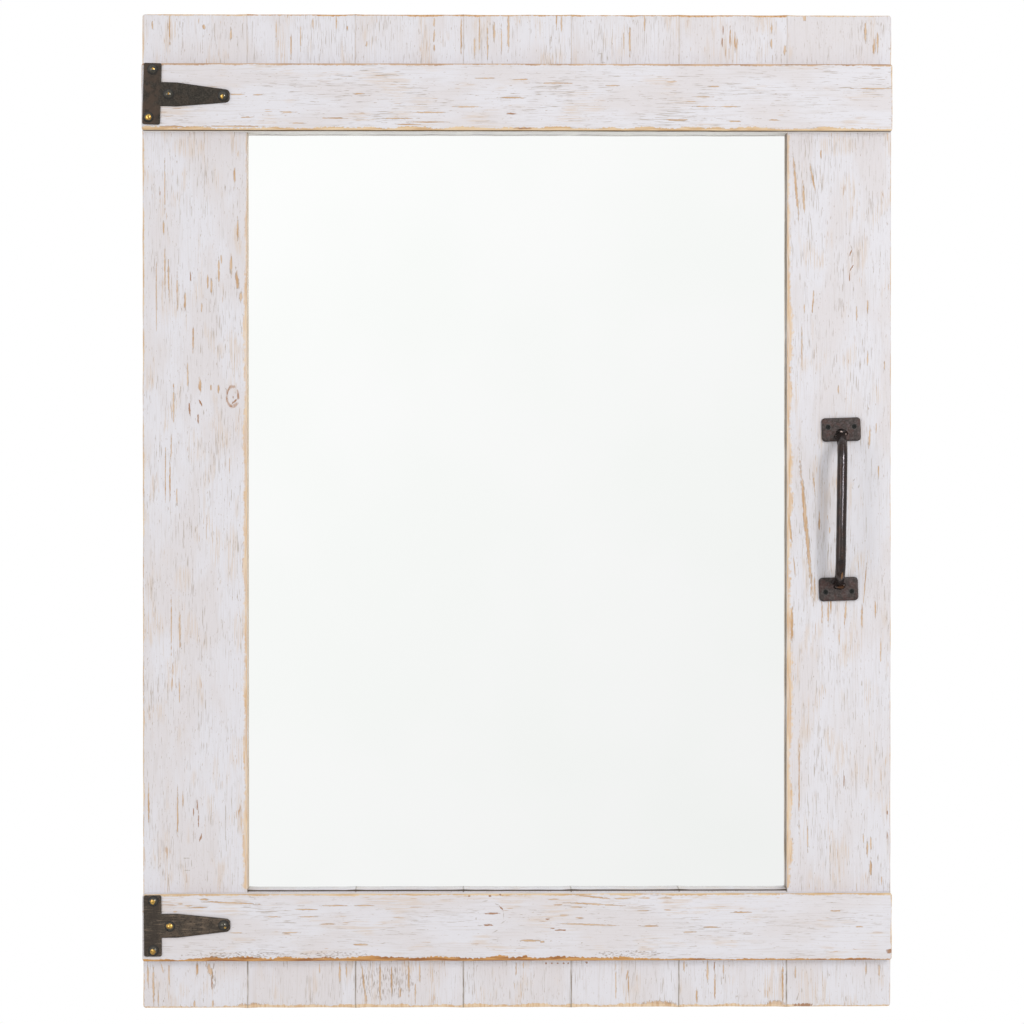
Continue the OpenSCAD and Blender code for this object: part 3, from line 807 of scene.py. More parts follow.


# Worn places, listed one by one: x, z, length, width and, where it leans, the sideways drift per millimetre.
# On uprights a mark runs up and down, and on rails it runs across.
BARE = {
    "left_stile": [
        (-231, 274, 16, 1.5), (-288, 264, 38, 0.8), (-288, 198, 31, 1.2),
        (-285, 191, 33, 1.1, -0.03), (-278, 181, 28, 1), (-271.5, 173, 13.6, 1.7),
        (-295, 179, 57, 0.8), (-244, 196, 20, 1.6), (-242, 206, 9, 1.2), (-234, 201, 16, 1.9),
        (-229, 189, 16, 2.4, -0.1), (-250, 184, 11.5, 1.5), (-253, 189, 12, 1.2),
        (-226, 175.5, 8, 2.4), (-258, 167, 6.5, 1.2), (-228.6, 231, 16, 1.5), (-289, 232, 12, 1.2),
        (-265, 141, 20, 1.2), (-269.4, 111.5, 19, 1.2), (-281, 87, 34, 1.1),
        (-259.5, 103, 12, 2.5), (-244.4, 100.5, 6.5, 1.5), (-250.5, 101, 5, 1),
        (-278.4, 12, 12, 1.1), (-284, 25, 30, 1.2), (-287.7, 29, 49, 0.8), (-283, 51, 20, 0.8),
        (-276, -96, 33, 1.2), (-283, -91, 49, 0.8), (-282.5, -141, 12, 1), (-276.3, -147, 16, 1),
        (-301.7, -239, 30, 1.2), (-278, -246, 34, 1.2), (-273.6, -236, 12, 1),
        (-302.3, -378.8, 18, 1.6), (-297.9, -388, 31, 1.5), (-293.9, -398.7, 12, 1),
        (-290.6, -373.8, 8, 1, -0.27), (-285.1, -378.6, 17.5, 1.3), (-262.1, -374.8, 10, 2.2),
        (-251.8, -375.5, 13, 3.6, -0.3), (-264.3, -403.4, 6, 1.5), (-249.3, -403.4, 6, 1.5),
        (-224.5, -405, 4.4, 10), (-284, 394, 25, 1), (-298, 397, 6.5, 1.2), (-256, 396, 3.5, 2.4),
        (-234, 389.5, 10, 1.6),
    ],
    "right_stile": [
        (228.1, 266, 48, 2, -0.09), (234.5, 257, 23, 1.9, -0.05), (241.8, 273, 22, 1.5, -0.2),
        (248.6, 293, 6.5, 1.2), (242.1, 172, 22, 1.1, 0.08), (278, 162, 11.5, 1),
        (287, 169, 11.5, 1.2), (235.1, 167, 8, 1), (287, 125.5, 12, 1.2), (301, 119, 8, 1),
        (263, 100, 8, 1), (288.7, 60.6, 15, 1.6, 0.05), (294, 69, 8, 0.8), (296, 34, 10, 1),
        (236.6, -12, 105, 3, -0.095), (243.1, 23, 16, 1, -0.1), (247.4, -8.5, 15, 1.4),
        (256, -15.6, 5, 0.9), (223.3, -12, 29, 2, -0.125), (243.8, -63, 20, 1.2),
        (249.8, -83, 17.5, 1), (254.8, -82, 20, 1.4), (257.1, -77.5, 10, 1.2),
        (269, -83, 20, 1.7, 0.06), (282.5, -87, 19, 1.4), (285, -59, 33, 0.8, 0.08),
        (293.5, -79.5, 15, 1.4), (263.9, -103, 10, 1.1), (298, -114, 20, 1), (225, -93, 28, 3),
        (231.1, -221, 74, 1), (238.1, -267, 20, 1), (287, -276, 12, 1.6), (290, -273, 10, 1.6),
        (290, -292, 12, 1.8), (284, -268, 6.5, 1), (299, -303, 6.5, 1), (228.1, -379, 10, 1),
        (286, -376, 10, 1), (297, -377, 12, 1.2), (235.1, 404, 5, 2.4), (285, 393, 16, 1.6),
        (292, 381, 12, 2), (295, 385, 15, 1.6), (233.1, 132, 40, 0.8), (227.1, -45, 16, 0.8, -0.1),
    ],
    "upper_rail": [
        (-229, 339.8, 11, 1), (-211.5, 339.5, 8, 1.1), (-281, 313.5, 20, 1.6),
        (-259.5, 312.8, 7, 1.2), (-187.2, 325.5, 12, 1.1), (-220.5, 321.3, 10, 1.1),
        (-179.2, 316.6, 12, 1), (-98.6, 320.6, 29, 1), (-149.8, 320.6, 20, 1),
        (-89.6, 315.6, 20, 1), (-231.5, 313.9, 48, 1.2), (-129.4, 340.5, 10, 1),
        (3, 352.4, 10, 1.2), (-26.5, 353.4, 15, 1), (31.9, 349.4, 26, 1), (-5, 337.5, 20, 1.3),
        (-41.8, 330, 20, 1.3), (-71.7, 325.5, 29, 1.1), (129.4, 319.6, 20, 1.2),
        (77.6, 347.4, 10, 1), (-73.7, 317.6, 33, 1), (249.4, 313.6, 8, 1.5),
        (209.1, 319.6, 8, 1.1), (177.2, 318.6, 11.5, 1.1), (152.3, 330.5, 16, 1),
        (172.2, 330.5, 16, 1), (151.3, 338.5, 16, 0.9), (161.3, 346.9, 10, 0.9),
        (290.2, 345.4, 31, 1.1),
    ],
    "lower_rail": [
        (-255.7, -316.2, 7, 1.6), (-234.3, -319, 42, 1.3, -0.045), (-274.9, -319.9, 4.5, 1.1),
        (-268.6, -321.4, 6, 1.1), (-260.5, -322.8, 13, 1), (-279.5, -326.2, 4, 0.9),
        (-228.3, -343.5, 9.5, 0.8), (-199.1, -330.5, 12, 1), (-172.2, -324.5, 16, 1),
        (-172.2, -330.5, 16, 1), (-128.4, -353.4, 14, 1.2), (-155.3, -336.5, 12, 0.9),
        (-184.2, -343.4, 15, 0.9), (-148.3, -321.5, 20, 1.1), (-125.4, -321.5, 15, 1.1),
        (10, -350.4, 16, 1.6), (63, -314.8, 28, 1.3, -0.115), (29.6, -316.5, 9, 1.2),
        (62.5, -320.6, 45, 1.2, -0.06), (33, -321.1, 9, 1), (48, -323, 13, 1),
        (38, -329.7, 7.5, 1.1), (50.8, -331.9, 7, 1), (57.6, -337.3, 46, 1.2, -0.035),
        (109, -338.6, 17, 1.2), (140, -343.6, 11, 1), (85.9, -316.1, 13, 1.2),
        (104.6, -315.7, 9, 1.1), (120.3, -315.7, 11, 1.1), (102.5, -326.1, 7, 0.9),
        (123, -325.3, 5, 0.9), (20.3, -351.4, 4, 1.2), (183.2, -327.5, 16, 1.2),
        (158.8, -339.5, 13, 1.2), (279.7, -339.5, 6.5, 1.2), (260.8, -326.5, 10, 1.2),
    ],
    "lower_board_1": [
        (-162, -374, 8, 0.9), (-145.5, -377, 16, 1.6), (-140, -376, 10, 1.1),
        (-214.5, -404.8, 4.6, 13),
    ],
    "lower_board_2": [
        (-125.5, -388, 34, 1.6, -0.13), (-112.5, -387.5, 36, 1.5), (-103, -383, 25, 1.2),
        (-89, -383, 27, 1.6), (-96, -394, 8, 1.6), (-80, -377, 16, 1.2), (-83.6, -394, 20, 0.9),
    ],
    "lower_board_3": [(-1, -375, 12, 1), (5, -371.5, 5, 1)],
    "lower_board_4": [
        (80.7, -387, 33, 0.8), (91, -387.5, 16, 1), (90, -380, 7, 1.4, 0.15), (116, -404, 5.6, 28),
    ],
    "lower_board_5": [
        (136.7, -372.4, 8, 1.2), (156, -378, 18, 1.8), (162, -389, 23, 1.2), (169, -376, 11.5, 1),
        (147.1, -397.3, 12, 1.4), (212, -404, 5.4, 15), (217.6, -388, 32, 1.5),
    ],
    "upper_board_1": [
        (-197, 394, 16, 0.8), (-185, 380, 20, 1.1), (-177, 388, 20, 0.8), (-167, 398.5, 8, 1.1),
        (-148, 398.5, 12, 1.1), (-139, 395, 5, 1),
    ],
    "upper_board_2": [
        (-123, 382, 4, 1.2), (-68, 400, 7, 1.5), (-68, 389, 9, 1.6), (-68, 379, 6, 1.3),
        (-46, 389.5, 33, 1.1),
    ],
    "upper_board_3": [
        (-35, 380, 16, 1.1), (-31, 389.5, 29, 1), (-24.4, 383, 29, 1.1), (-19, 392, 16, 1.6),
        (-7.3, 394, 33, 1.8), (-13, 386, 25, 0.8), (32, 401, 12, 1.1), (36, 399, 12, 1.2),
    ],
    "upper_board_4": [(92, 385, 23, 1.5), (104, 400, 12, 1.2), (87, 385, 12, 0.8)],
    "upper_board_5": [
        (174, 388, 16, 1.1), (178, 385, 16, 1.1), (208, 395, 6.5, 1.6), (208, 383, 6.5, 1.6),
        (219, 378, 8, 2),
    ],
}

# Darker marks, where the wood has browned or a knot shows through
BROWN = {
    "left_stile": [
        (-268, 84, 13, 1.6, -0.09), (-259, 89, 6.5, 1.4, -0.5), (-261, 76, 7, 1.5),
        (-259, -266.5, 8, 1.7, 0.3), (-292, 260, 4, 1), (-267, 192, 8, 1), (-262, -239, 10, 1.1),
        (-265, -246, 6.5, 1), (-261, -251, 16, 0.8), (-250, -386.5, 10, 1.2),
        (-236.6, 98.2, 9, 0.9, 0.32), (-228.4, 94.5, 6.5, 1.6, 0.1), (-230.9, 90.3, 7, 1.6, 1.1),
        (-234.1, 86.3, 1.6, 2.6), (-237.5, 92.5, 1.8, 1.2), (-232.4, 93.6, 2.4, 1),
    ],
    "right_stile": [
        (303.4, -247, 4, 1), (303.4, -266, 6, 1), (268, -221, 12, 0.9), (234.8, -404.9, 3.2, 17),
        (273.1, 212.1, 6.5, 1, 0.38), (273.8, 199.6, 6.8, 0.8, 0.6), (272.2, 192.5, 8.5, 1.1),
    ],
    "upper_rail": [(-5, 324.5, 10, 1.6), (4, 312.6, 15, 1.2)],
    "lower_rail": [
        (-20.4, -328.1, 12.6, 1.8), (-24.3, -337.6, 9.5, 1.4), (-13.1, -324, 5, 1.4, -1.1),
        (304.6, -359.4, 6, 4), (-39.5, -313.8, 2.2, 1.6), (-22.6, -313.8, 2.4, 1.6),
        (-14.2, -312.8, 2.2, 1.4), (24.8, -332.8, 4, 1.2), (28.5, -340.3, 4, 1),
        (35.9, -341.7, 9, 1.3),
    ],
    "lower_board_3": [
        (23.5, -370.2, 1.5, 1.7), (28.3, -370.2, 1.4, 1.6), (33.1, -370.2, 1.5, 1.7),
        (37.9, -370.2, 1.4, 1.6), (41.6, -370.2, 1.4, 1.4),
    ],
    "lower_board_4": [(56.8, -369.6, 2.2, 1.8)],
    "lower_board_5": [(161.5, -373, 6.5, 1.1)],
    "upper_board_5": [(168.5, 394, 9, 1.2), (167.7, 384, 9, 1.2)],
}

# Grey scratches and the faint rings of painted knots
GREY = {
    "left_stile": [
        (-256.5, 81, 5, 0.9), (-238, 100, 3, 0.8, -0.6), (-271, -283.5, 1, 7),
        (-266.5, -288, 6, 0.8), (-274.5, -289, 6, 0.8), (-270, -293.5, 0.8, 6),
        (-280, 92, 9, 0.8, 0.15), (-276, 96, 12, 0.7, 0.1),
    ],
    "right_stile": [
        (273.4, 217, 4.8, 1, -0.4), (275.5, 182, 6, 1), (276, 26, 3, 0.8, 0.8),
        (280, 21, 4, 0.8, 0.3), (275, 19, 3, 0.8, -0.5), (230, -398, 8, 1.1, 0.3),
        (233.5, -393, 6, 0.9),
    ],
    "lower_rail": [
        (-11.4, -329.5, 0.8, 7), (-33.9, -332.2, 1.2, 2.4), (-12.2, -335.5, 5, 1, 0.7),
        (-18.4, -342.8, 6.5, 1, 0.62), (-26.4, -317.9, 6, 0.9, 0.15),
        (-16.9, -320.6, 3.5, 0.8, -0.3), (-30.4, -338.1, 6, 0.9),
    ],
    "upper_board_4": [(68, 374.5, 0.8, 4), (73.5, 371, 4, 0.8), (70, 367.5, 0.8, 5)],
}

# Soft places where the paint is thin: x, z, width and height
THIN = {
    "left_stile": [
        (-268, 298, 26, 16), (-273, -55, 13, 20), (-234, -34, 12, 40), (-228, -98, 9, 32),
    ],
    "right_stile": [(262, 300, 30, 16)],
}

# Where the paint has crackled into fine dashes: x, z, width and height
CRACKLED = {
    "lower_rail": [(-228, -361.6, 96, 6), (-150, -361, 60, 5), (92, -361.2, 62, 6)],
    "lower_board_2": [(-108, -386, 52, 30)],
    "left_stile": [(-248.4, -379, 4, 24)],
}

# Broken outlines round knots: x, z, width and height
KNOTS = {
    "left_stile": [(-232.8, 94.2, 9.8, 16.4)],
}

# How far the paint has gone from the front edges, in mm: left, right, low and high
WORN_EDGES = {
    "left_stile": (1.8, 4.8, 2.5, 1.8),
    "right_stile": (5.8, 1.2, 2.5, 1.8),
    "upper_rail": (0.8, 1.8, 4.2, 2.3),
    "lower_rail": (0.8, 1.6, 5.0, 2.4),
    "upper_board": (0.3, 0.3, 0.5, 2.1),
    "lower_board": (0.3, 0.3, 4.0, 1.0),
}

# Towards these heights and ends the inner edges and the lower rail's foot have kept more paint
KEPT_TOP = (170, 235)
KEPT_RIGHT = (60, 130)
KEPT_LEFT = (-240, -285)

# The sides where a board meets its neighbours
JOINTS = {
    "left_stile": ["right"],
    "right_stile": ["left"],
    "upper_board": ["left", "right"],
    "lower_board": ["left", "right"],
}

# The faces round the opening: the side, the depth where their tone starts, and that tone near
# the front and further in. Further in, the right stile's face is dark as painted shade; the undersides
# of the upper boards and rail are paler than the whitewash as painted light that lifts their shade.
INNER_FACE_TONES_LIGHT_AND_SHADE = {
    "left_stile": ("right", 1.4, srgb(196, 172, 142), srgb(196, 172, 142)),
    # Painted shade: the right stile's face turns dark further in
    "right_stile": ("left", 1.4, srgb(214, 200, 184), srgb(104, 80, 44)),
    # Painted light: the undersides are paler than the whitewash, lifting their shade
    "upper_board": ("low", 1.4, srgb(246, 245, 242), srgb(246, 245, 242)),
    "upper_rail": ("low", 4.8, srgb(236, 232, 226), srgb(236, 232, 226)),
}

# What shows along the grain: length, width, a shift that keeps patterns apart, and detail
GRAIN = {
    "tones": (70, 26, 9, 2),
    "patches": (38, 14, 5, 2),
    "wide patches": (60, 21, 0, 2),
    "brush marks": (24, 0.95, 0, 2),
    "fine pits": (13, 0.5, 2, 1),
    "torn streaks": (15, 0.9, 4, 1.5),
    "ragged rims": (3.6, 0.6, 6, 3),
    "bare grain": (22, 1.6, 3, 2),
    "nibbled edges": (2.6, 2.6, 1, 2),
    "slow swells": (26, 26, 7, 1),
    "rail crackle": (2.6, 0.6, 12, 1),
    "board crackle": (6, 0.6, 12, 1),
    "broken rings": (4, 4, 13, 1),
    "uneven joints": (14, 3, 14, 2),
    "inner patches": (30, 4, 8, 2),
    "raw grain": (90, 2.4, 0, 3),
}

PAINT = srgb(224, 222, 227)
PAINT_DULL = srgb(220, 215, 217)
PAINT_GRAIN = srgb(207, 200, 198)
PAINT_THIN = srgb(216, 200, 187)
FINE_PIT = srgb(178, 164, 150)
SCRATCH = srgb(176, 166, 158)
BARE_LIGHT = srgb(216, 190, 164)
BARE_DARK = srgb(197, 159, 122)
BOARD_EDGE = (srgb(228, 203, 172), srgb(213, 177, 138))
RAIL_EDGE = (srgb(226, 200, 164), srgb(206, 170, 128))
CRACK = srgb(148, 128, 112)
SEAM = srgb(136, 124, 110)
TORN_RIM_SHADE = srgb(176, 160, 146)
BROWN_WOOD = srgb(170, 130, 102)
KNOT_RIM = srgb(182, 148, 126)
DARK_ARRIS = srgb(62, 46, 24)
LINTEL_SHADE_LINE = srgb(84, 62, 32)
RAW_PINE = srgb(216, 186, 146)
RAW_PINE_GRAIN = srgb(188, 148, 102)

# Edges with wood of their own: the side, and its lighter and darker grain
OTHER_EDGES = {
    "lower_rail": ("low", srgb(204, 152, 92), srgb(156, 102, 56)),
    "upper_rail": ("high", srgb(208, 176, 148), srgb(180, 144, 116)),
    "upper_board": ("high", srgb(212, 172, 128), srgb(192, 138, 86)),
}


class Whitewash(Finish):
    """Whitewash on one plank, laid on and then worn through, layer by layer."""

    def __init__(self, node):
        super().__init__(node + "_whitewash", 0.62)
        self.node = node
        self.kind = node.rstrip("_12345")
        self.across_x = node.endswith("rail")
        self.shift = 11.0 * sorted(BARE).index(node) + 3.0
        low, high = [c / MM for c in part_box(node)]
        self.rims = {
            "left": self.minus(self.x, low.x),
            "right": self.minus(high.x, self.x),
            "low": self.minus(self.z, low.z),
            "high": self.minus(high.z, self.z),
        }
        self.depth = self.minus(self.y, low.y)
        self.front = self.step(self.depth, 3.5, 2.5)
        foot, top = OPENING_FOOT / MM, OPENING_TOP / MM
        below_top = self.step(self.z, top + 1, top - 3)
        self.beside_mirror = self.times(self.step(self.z, foot - 1, foot + 3), below_top)
        self.patches = self.grain("patches")
        self.brushed = self.grain("brush marks")
        self.fine = self.grain("fine pits")
        self.bare_grain = self.grain("bare grain", 0.38, 0.66)
        self.jitter = self.times(self.minus(self.grain("ragged rims"), 0.5), 1.5)
        pitted = self.plus(self.fine, self.times(self.grain("wide patches"), 0.4))
        self.pits = self.step(pitted, 0.87, 0.96)

    def grain(self, kind, *limits):
        """Soft noise drawn out along the plank, stepped between limits if they are given."""
        length, width, shift, detail = GRAIN[kind]
        size = (length, width, width) if self.across_x else (width, width, length)
        noise = self.noise(size, self.shift + shift, detail)
        return self.step(noise, *limits) if limits else noise

    def places(self, table, full):
        """The plank's soft ovals in a table, whole from that value of a spot on."""
        spots = [self.spot(*place) for place in table.get(self.node, [])]
        return self.most([self.step(spot, 0.05, full) for spot in spots]) if spots else None

    def marks(self, table):
        """The plank's marks in a table, which run along it."""
        spots = []
        for x, z, length, width, *lean in table.get(self.node, []):
            drift = math.atan(lean[0]) if lean else 0.0
            if self.across_x:
                spots.append(self.spot(x, z, length, width, -drift))
            else:
                spots.append(self.spot(x, z, width, length, drift))
        return spots

    def ragged(self, spots, softness, start=SPOT_RIM):
        """Spots on the front with ragged rims."""
        reach = self.plus(self.most(spots), self.jitter)
        return self.times(self.step(reach, start, start + softness), self.front)

    def wood(self, light, dark):
        return self.mix(self.bare_grain, light, dark)

    def lay(self, amount, tone):
        """Lays a tone over the colour so far."""
        self.colour = self.mix(amount, self.colour, tone)

    def brush_on(self):
        """Two whites, brush marks, thin places and fine pits."""
        tones = self.grain("tones", 0.4, 0.62)
        self.colour = self.mix(tones, PAINT, PAINT_DULL)
        self.lay(self.times(self.step(self.brushed, 0.5, 0.7), 0.4), PAINT_GRAIN)
        thin = self.times(self.step(self.patches, 0.52, 0.68), self.step(self.brushed, 0.42, 0.56))
        placed = self.places(THIN, 0.6)
        if placed is not None:
            thin = self.most([thin, self.times(placed, self.step(self.brushed, 0.36, 0.58))])
        self.lay(self.times(thin, 0.6), PAINT_THIN)
        self.lay(self.times(self.pits, 0.8), FINE_PIT)

    def scratch(self):
        scratches = self.marks(GREY)
        if scratches:
            self.lay(self.times(self.ragged(scratches, 0.3), 0.75), SCRATCH)

    def tear(self):
        """Torn streaks and scraped places where the pine shows, ringed by greyer paint that is partly a
        painted shade of the torn paint's edge.
        """
        scraped = self.marks(BARE)
        rim = self.ragged(scraped, 0.14, SPOT_RIM - 0.14)
        # Greyer rims round the scraped places: greyed paint and a painted shade of the torn edge.
        self.lay(self.times(rim, self.step(self.fine, 0.4, 0.6)), TORN_RIM_SHADE)
        torn = self.plus(self.grain("torn streaks"), self.times(self.patches, 0.5))
        streaks = self.times(self.step(torn, 0.99, 1.05), 0.9)
        self.bare = self.most([streaks, self.ragged(scraped, 0.16)])
        self.lay(self.bare, self.wood(BARE_LIGHT, BARE_DARK))

    def wear_edges(self):
        """Front edges rubbed to the wood, each to its own reach."""
        swells = self.grain("slow swells", 0.36, 0.66)
        nibbled = self.minus(self.times(self.grain("nibbled edges"), 0.9), 0.35)
        give = self.plus(self.plus(0.45, self.times(swells, 0.4)), nibbled)
        deep = self.most([self.depth, 0.0])
        worn = {}
        for (side, rim), width in zip(self.rims.items(), WORN_EDGES[self.kind]):
            away = self.most([rim, deep])
            reach = self.times(give, width)
            if self.node == "lower_rail" and side == "low":
                kept = self.most([self.step(self.x, *KEPT_RIGHT), self.step(self.x, *KEPT_LEFT)])
                reach = self.times(reach, self.less(kept, 0.5))
            if self.kind.endswith("stile") and side in JOINTS[self.kind]:
                kept = self.less(self.step(self.z, *KEPT_TOP), 0.5)
                reach = self.times(reach, self.at_least(0.12, self.beside_mirror), kept)
                rubbed = self.step(self.minus(reach, away), -0.4, 1.6)
                brushy = self.at_least(0.6, self.step(self.brushed, 0.4, 0.6))
                worn[side] = self.times(rubbed, brushy)
            else:
                worn[side] = self.step(self.minus(reach, away), -0.2, 0.6)
        edges = self.most(list(worn.values()))
        self.lay(edges, self.wood(*(RAIL_EDGE if self.across_x else BOARD_EDGE)))
        if self.kind in OTHER_EDGES:
            side, light, dark = OTHER_EDGES[self.kind]
            self.lay(worn[side], self.wood(light, dark))
        self.bare = self.most([self.bare, edges])

    def brown(self):
        browned = self.marks(BROWN)
        if browned:
            brown = self.ragged(browned, 0.2)
            self.lay(brown, BROWN_WOOD)
            self.bare = self.most([self.bare, brown])

    def crackle(self):
        """Fine dark dashes within the crackled places."""
        placed = self.places(CRACKLED, 0.5)
        if placed is not None:
            dashes = self.grain("rail crackle" if self.across_x else "board crackle")
            dashes = self.plus(dashes, self.times(self.minus(placed, 1.0), 0.4))
            self.lay(self.times(self.step(dashes, 0.55, 0.62), 0.7), CRACK)

    def ring_knots(self):
        """Broken outlines round the knots."""
        for place in KNOTS.get(self.node, []):
            knot = self.plus(self.spot(*place), self.times(self.jitter, 0.2))
            outline = self.times(self.step(knot, 0.2, 0.3), self.step(knot, 0.5, 0.38))
            broken = self.grain("broken rings", 0.38, 0.55)
            self.lay(self.times(outline, broken, 0.85), KNOT_RIM)

    def darken_joints(self):
        """Thin dark joints between boards, fainter high up and none beside the mirror."""
        if self.kind in JOINTS:
            shut = self.most([self.step(self.rims[side], 0.9, 0.3) for side in JOINTS[self.kind]])
            low_down = self.at_least(0.25, self.step(self.z, 0, -100))
            uneven = self.times(self.at_least(1 / 3, self.grain("uneven joints", 0.38, 0.58)), 0.9)
            self.lay(self.times(shut, self.less(self.beside_mirror), low_down, uneven), SEAM)

    def draw_dark_lines(self):
        """The tops of the lower boards under their rail, and a painted shade line along the lower edge of
        the upper rail.
        """
        if self.kind == "lower_board":
            line = self.times(self.step(self.rims["high"], 1.7, 1.1), self.step(self.depth, 3.0, 1.5))
            self.lay(self.times(line, 0.95), DARK_ARRIS)
        # Painted shade: a dark line under the upper rail's front edge.
        if self.kind == "upper_rail":
            within = self.times(self.step(self.depth, 0.15, 0.4), self.step(self.depth, 4.6, 3.8))
            line = self.times(self.step(self.rims["low"], 1.0, 0.7), within)
            self.lay(self.times(line, 0.95), LINTEL_SHADE_LINE)

    def tint_inner_face_with_light_and_shade(self):
        """The face round the opening, from a little way in: painted shade deep in the right stile's, and
        painted light on the undersides above the mirror.
        """
        if self.kind in INNER_FACE_TONES_LIGHT_AND_SHADE:
            side, starts, shallow, further_in = INNER_FACE_TONES_LIGHT_AND_SHADE[self.kind]
            past_front = self.step(self.depth, starts - 0.8, starts)
            inside = self.times(self.step(self.rims[side], 0.5, 0.1), past_front)
            patches = self.grain("inner patches", 0.62, 0.5)
            tone = self.mix(self.step(self.depth, 2.5, 3.5), shallow, further_in)
            self.lay(self.times(inside, self.at_least(0.75, patches)), tone)

    def leave_back_raw(self):
        if not self.across_x:
            grained = self.grain("raw grain", 0.4, 0.62)
            behind = self.step(self.y, BACK_Y / MM - 1.2, BACK_Y / MM - 0.3)
            self.lay(behind, self.mix(grained, RAW_PINE, RAW_PINE_GRAIN))


def whitewash(node):
    """Whitewash rubbed through to the pine: fine pits, torn streaks, worn edges and knots."""
    f = Whitewash(node)
    f.brush_on()
    f.scratch()
    f.tear()
    f.wear_edges()
    f.brown()
    f.crackle()
    f.ring_knots()
    f.darken_joints()
    f.draw_dark_lines()
    f.tint_inner_face_with_light_and_shade()
    f.leave_back_raw()
    height = f.plus(f.times(f.less(f.bare), 0.14), f.times(f.brushed, 0.09))
    height = f.minus(height, f.times(f.pits, 0.08))
    return f.finish(f.colour, f.plus(0.56, f.times(f.bare, 0.2)), height)


# Gold rubbed through on the nails of each plate: the leaf's top and foot, the strap's root and tip.
# Each spot has its offset from the nail's middle, its width and its height.
RUBBED = {
    "upper_hinge_nails": [
        (0.7, 0.3, 2.2, 2.2), (0.0, 0.0, 5.4, 5.4), (0.3, 0.3, 1.4, 2.0), (-0.6, -0.7, 2.8, 3.8),
    ],
    "lower_hinge_nails": [
        (-0.4, -0.6, 4.4, 4.6), (-0.7, -1.1, 5.0, 4.8), (-0.5, 0.4, 6.0, 4.2),
        (1.3, -1.8, 2.0, 1.8),
    ],
}


def darkened_brass(node):
    """Nearly black with oil, rubbed to gold on top of the domes, and darkened round each dome's outer rim as
    a painted contact shadow.
    """
    f = Finish(node + "_brass", 0.2, 0.9)
    f.shader.inputs["Coat Weight"].default_value = 0.8
    f.shader.inputs["Coat Roughness"].default_value = 0.1
    mottle = f.noise((1.4, 1.4, 1.4), 2.0, detail=3)
    dark = f.mix(f.step(mottle, 0.4, 0.62), srgb(52, 48, 39), srgb(74, 70, 59))
    heads = f.most([f.spot(x / MM, z / MM, 2 * NAIL_R / MM, 2 * NAIL_R / MM) for x, z in centres(node)])
    # Painted contact shadow: the outer rim of each dome is darkened towards black.
    dark = f.mix(f.step(heads, 0.6, 0.42), dark, srgb(26, 22, 18))
    gold = f.mix(f.step(mottle, 0.38, 0.6), srgb(216, 178, 84), srgb(164, 122, 46))
    spots = f.most([f.spot(x / MM + dx, z / MM + dz, width, height)
                    for (x, z), (dx, dz, width, height) in zip(centres(node), RUBBED[node])])
    ragged = f.plus(spots, f.times(f.minus(mottle, 0.5), 0.9))
    rubbed = f.step(ragged, SPOT_RIM, SPOT_RIM + 0.18)
    colour = f.mix(rubbed, dark, gold)
    roughness = f.plus(0.16, f.times(rubbed, 0.06))
    return f.finish(colour, roughness, f.times(mottle, 0.05))


def black_iron(name, tint, patch, pale, shade_rim_y=None, streaks=(2.0, 2.0, 2.0), roughness=0.42, bump=0.18,
               leaf=None, stains_and_highlights=()):
    """Waxed iron: fine mottle, brown patches, paler rubbed streaks, and painted shade on the sides below the
    front face.

    A T plate's leaf can have its own tone, and the grip's marks list x, z, width, height, lean and tone:
    brown weld patches, painted highlights and painted glints.
    """
    f = Finish(name, roughness, 0.75)
    mottle = f.noise((0.9, 0.9, 0.9), 1.0, detail=3)
    broad = f.noise((7, 7, 7), 4.0, detail=3)
    drawn = f.noise(streaks, 7.0)
    base = f.mix(f.times(f.step(broad, 0.44, 0.6), 0.8), tint, patch)
    base = f.mix(f.times(f.step(drawn, 0.52, 0.7), 0.55), base, pale)
    base = f.mix(f.step(mottle, 0.5, 0.68), base, shaded(tint, 1.7))
    base = f.mix(f.step(mottle, 0.46, 0.3), base, shaded(tint, 0.6))
    if leaf:
        on_leaf = f.step(f.x, LEAF_SIDE / MM + 1, LEAF_SIDE / MM - 4)
        blotchy = f.times(on_leaf, f.step(broad, 0.34, 0.6))
        base = f.mix(f.times(blotchy, 0.75), base, leaf)
    for x, z, width, height, lean, tone in stains_and_highlights:
        spot = f.spot(x, z, width, height, lean)
        ragged = f.plus(spot, f.times(f.minus(mottle, 0.5), 0.6))
        base = f.mix(f.step(ragged, SPOT_RIM, SPOT_RIM + 0.25), base, tone)
    # Painted shade: the sides and rim below the front face are darkened.
    if shade_rim_y is not None:
        below = f.step(f.y, shade_rim_y / MM + 0.12, shade_rim_y / MM + 0.45)
        base = f.mix(f.times(below, 0.85), base, shaded(tint, 0.35))
    rough = f.plus(roughness - 0.08, f.times(mottle, 0.16))
    return f.finish(base, rough, f.times(mottle, bump))


# A painted highlight down the bar, painted glints on the welds, and brown where the torch left the welds: x,
# z, width, height, lean and tone
GRIP_STAINS_AND_HIGHLIGHTS = [
    # Painted highlight down the bar's right side
    (263.4, 20.0, 1.5, 80.0, 0.022, srgb(112, 107, 111)),
    (265.0, -61.6, 8.0, 3.6, 0.0, srgb(84, 56, 36)),
    (263.4, -52.0, 1.8, 7.0, 0.0, srgb(140, 104, 72)),
    # These two are painted glints on the upper weld
    (265.2, 65.2, 2.6, 1.4, 0.5, srgb(222, 204, 196)),
    (268.6, 63.4, 1.7, 1.4, 0.0, srgb(226, 208, 198)),
    (259.2, 62.6, 2.2, 1.2, 0.0, srgb(130, 106, 88)),
    # A painted glint on the lower weld
    (258.6, -60.6, 1.2, 1.2, 0.0, srgb(170, 174, 166)),
]


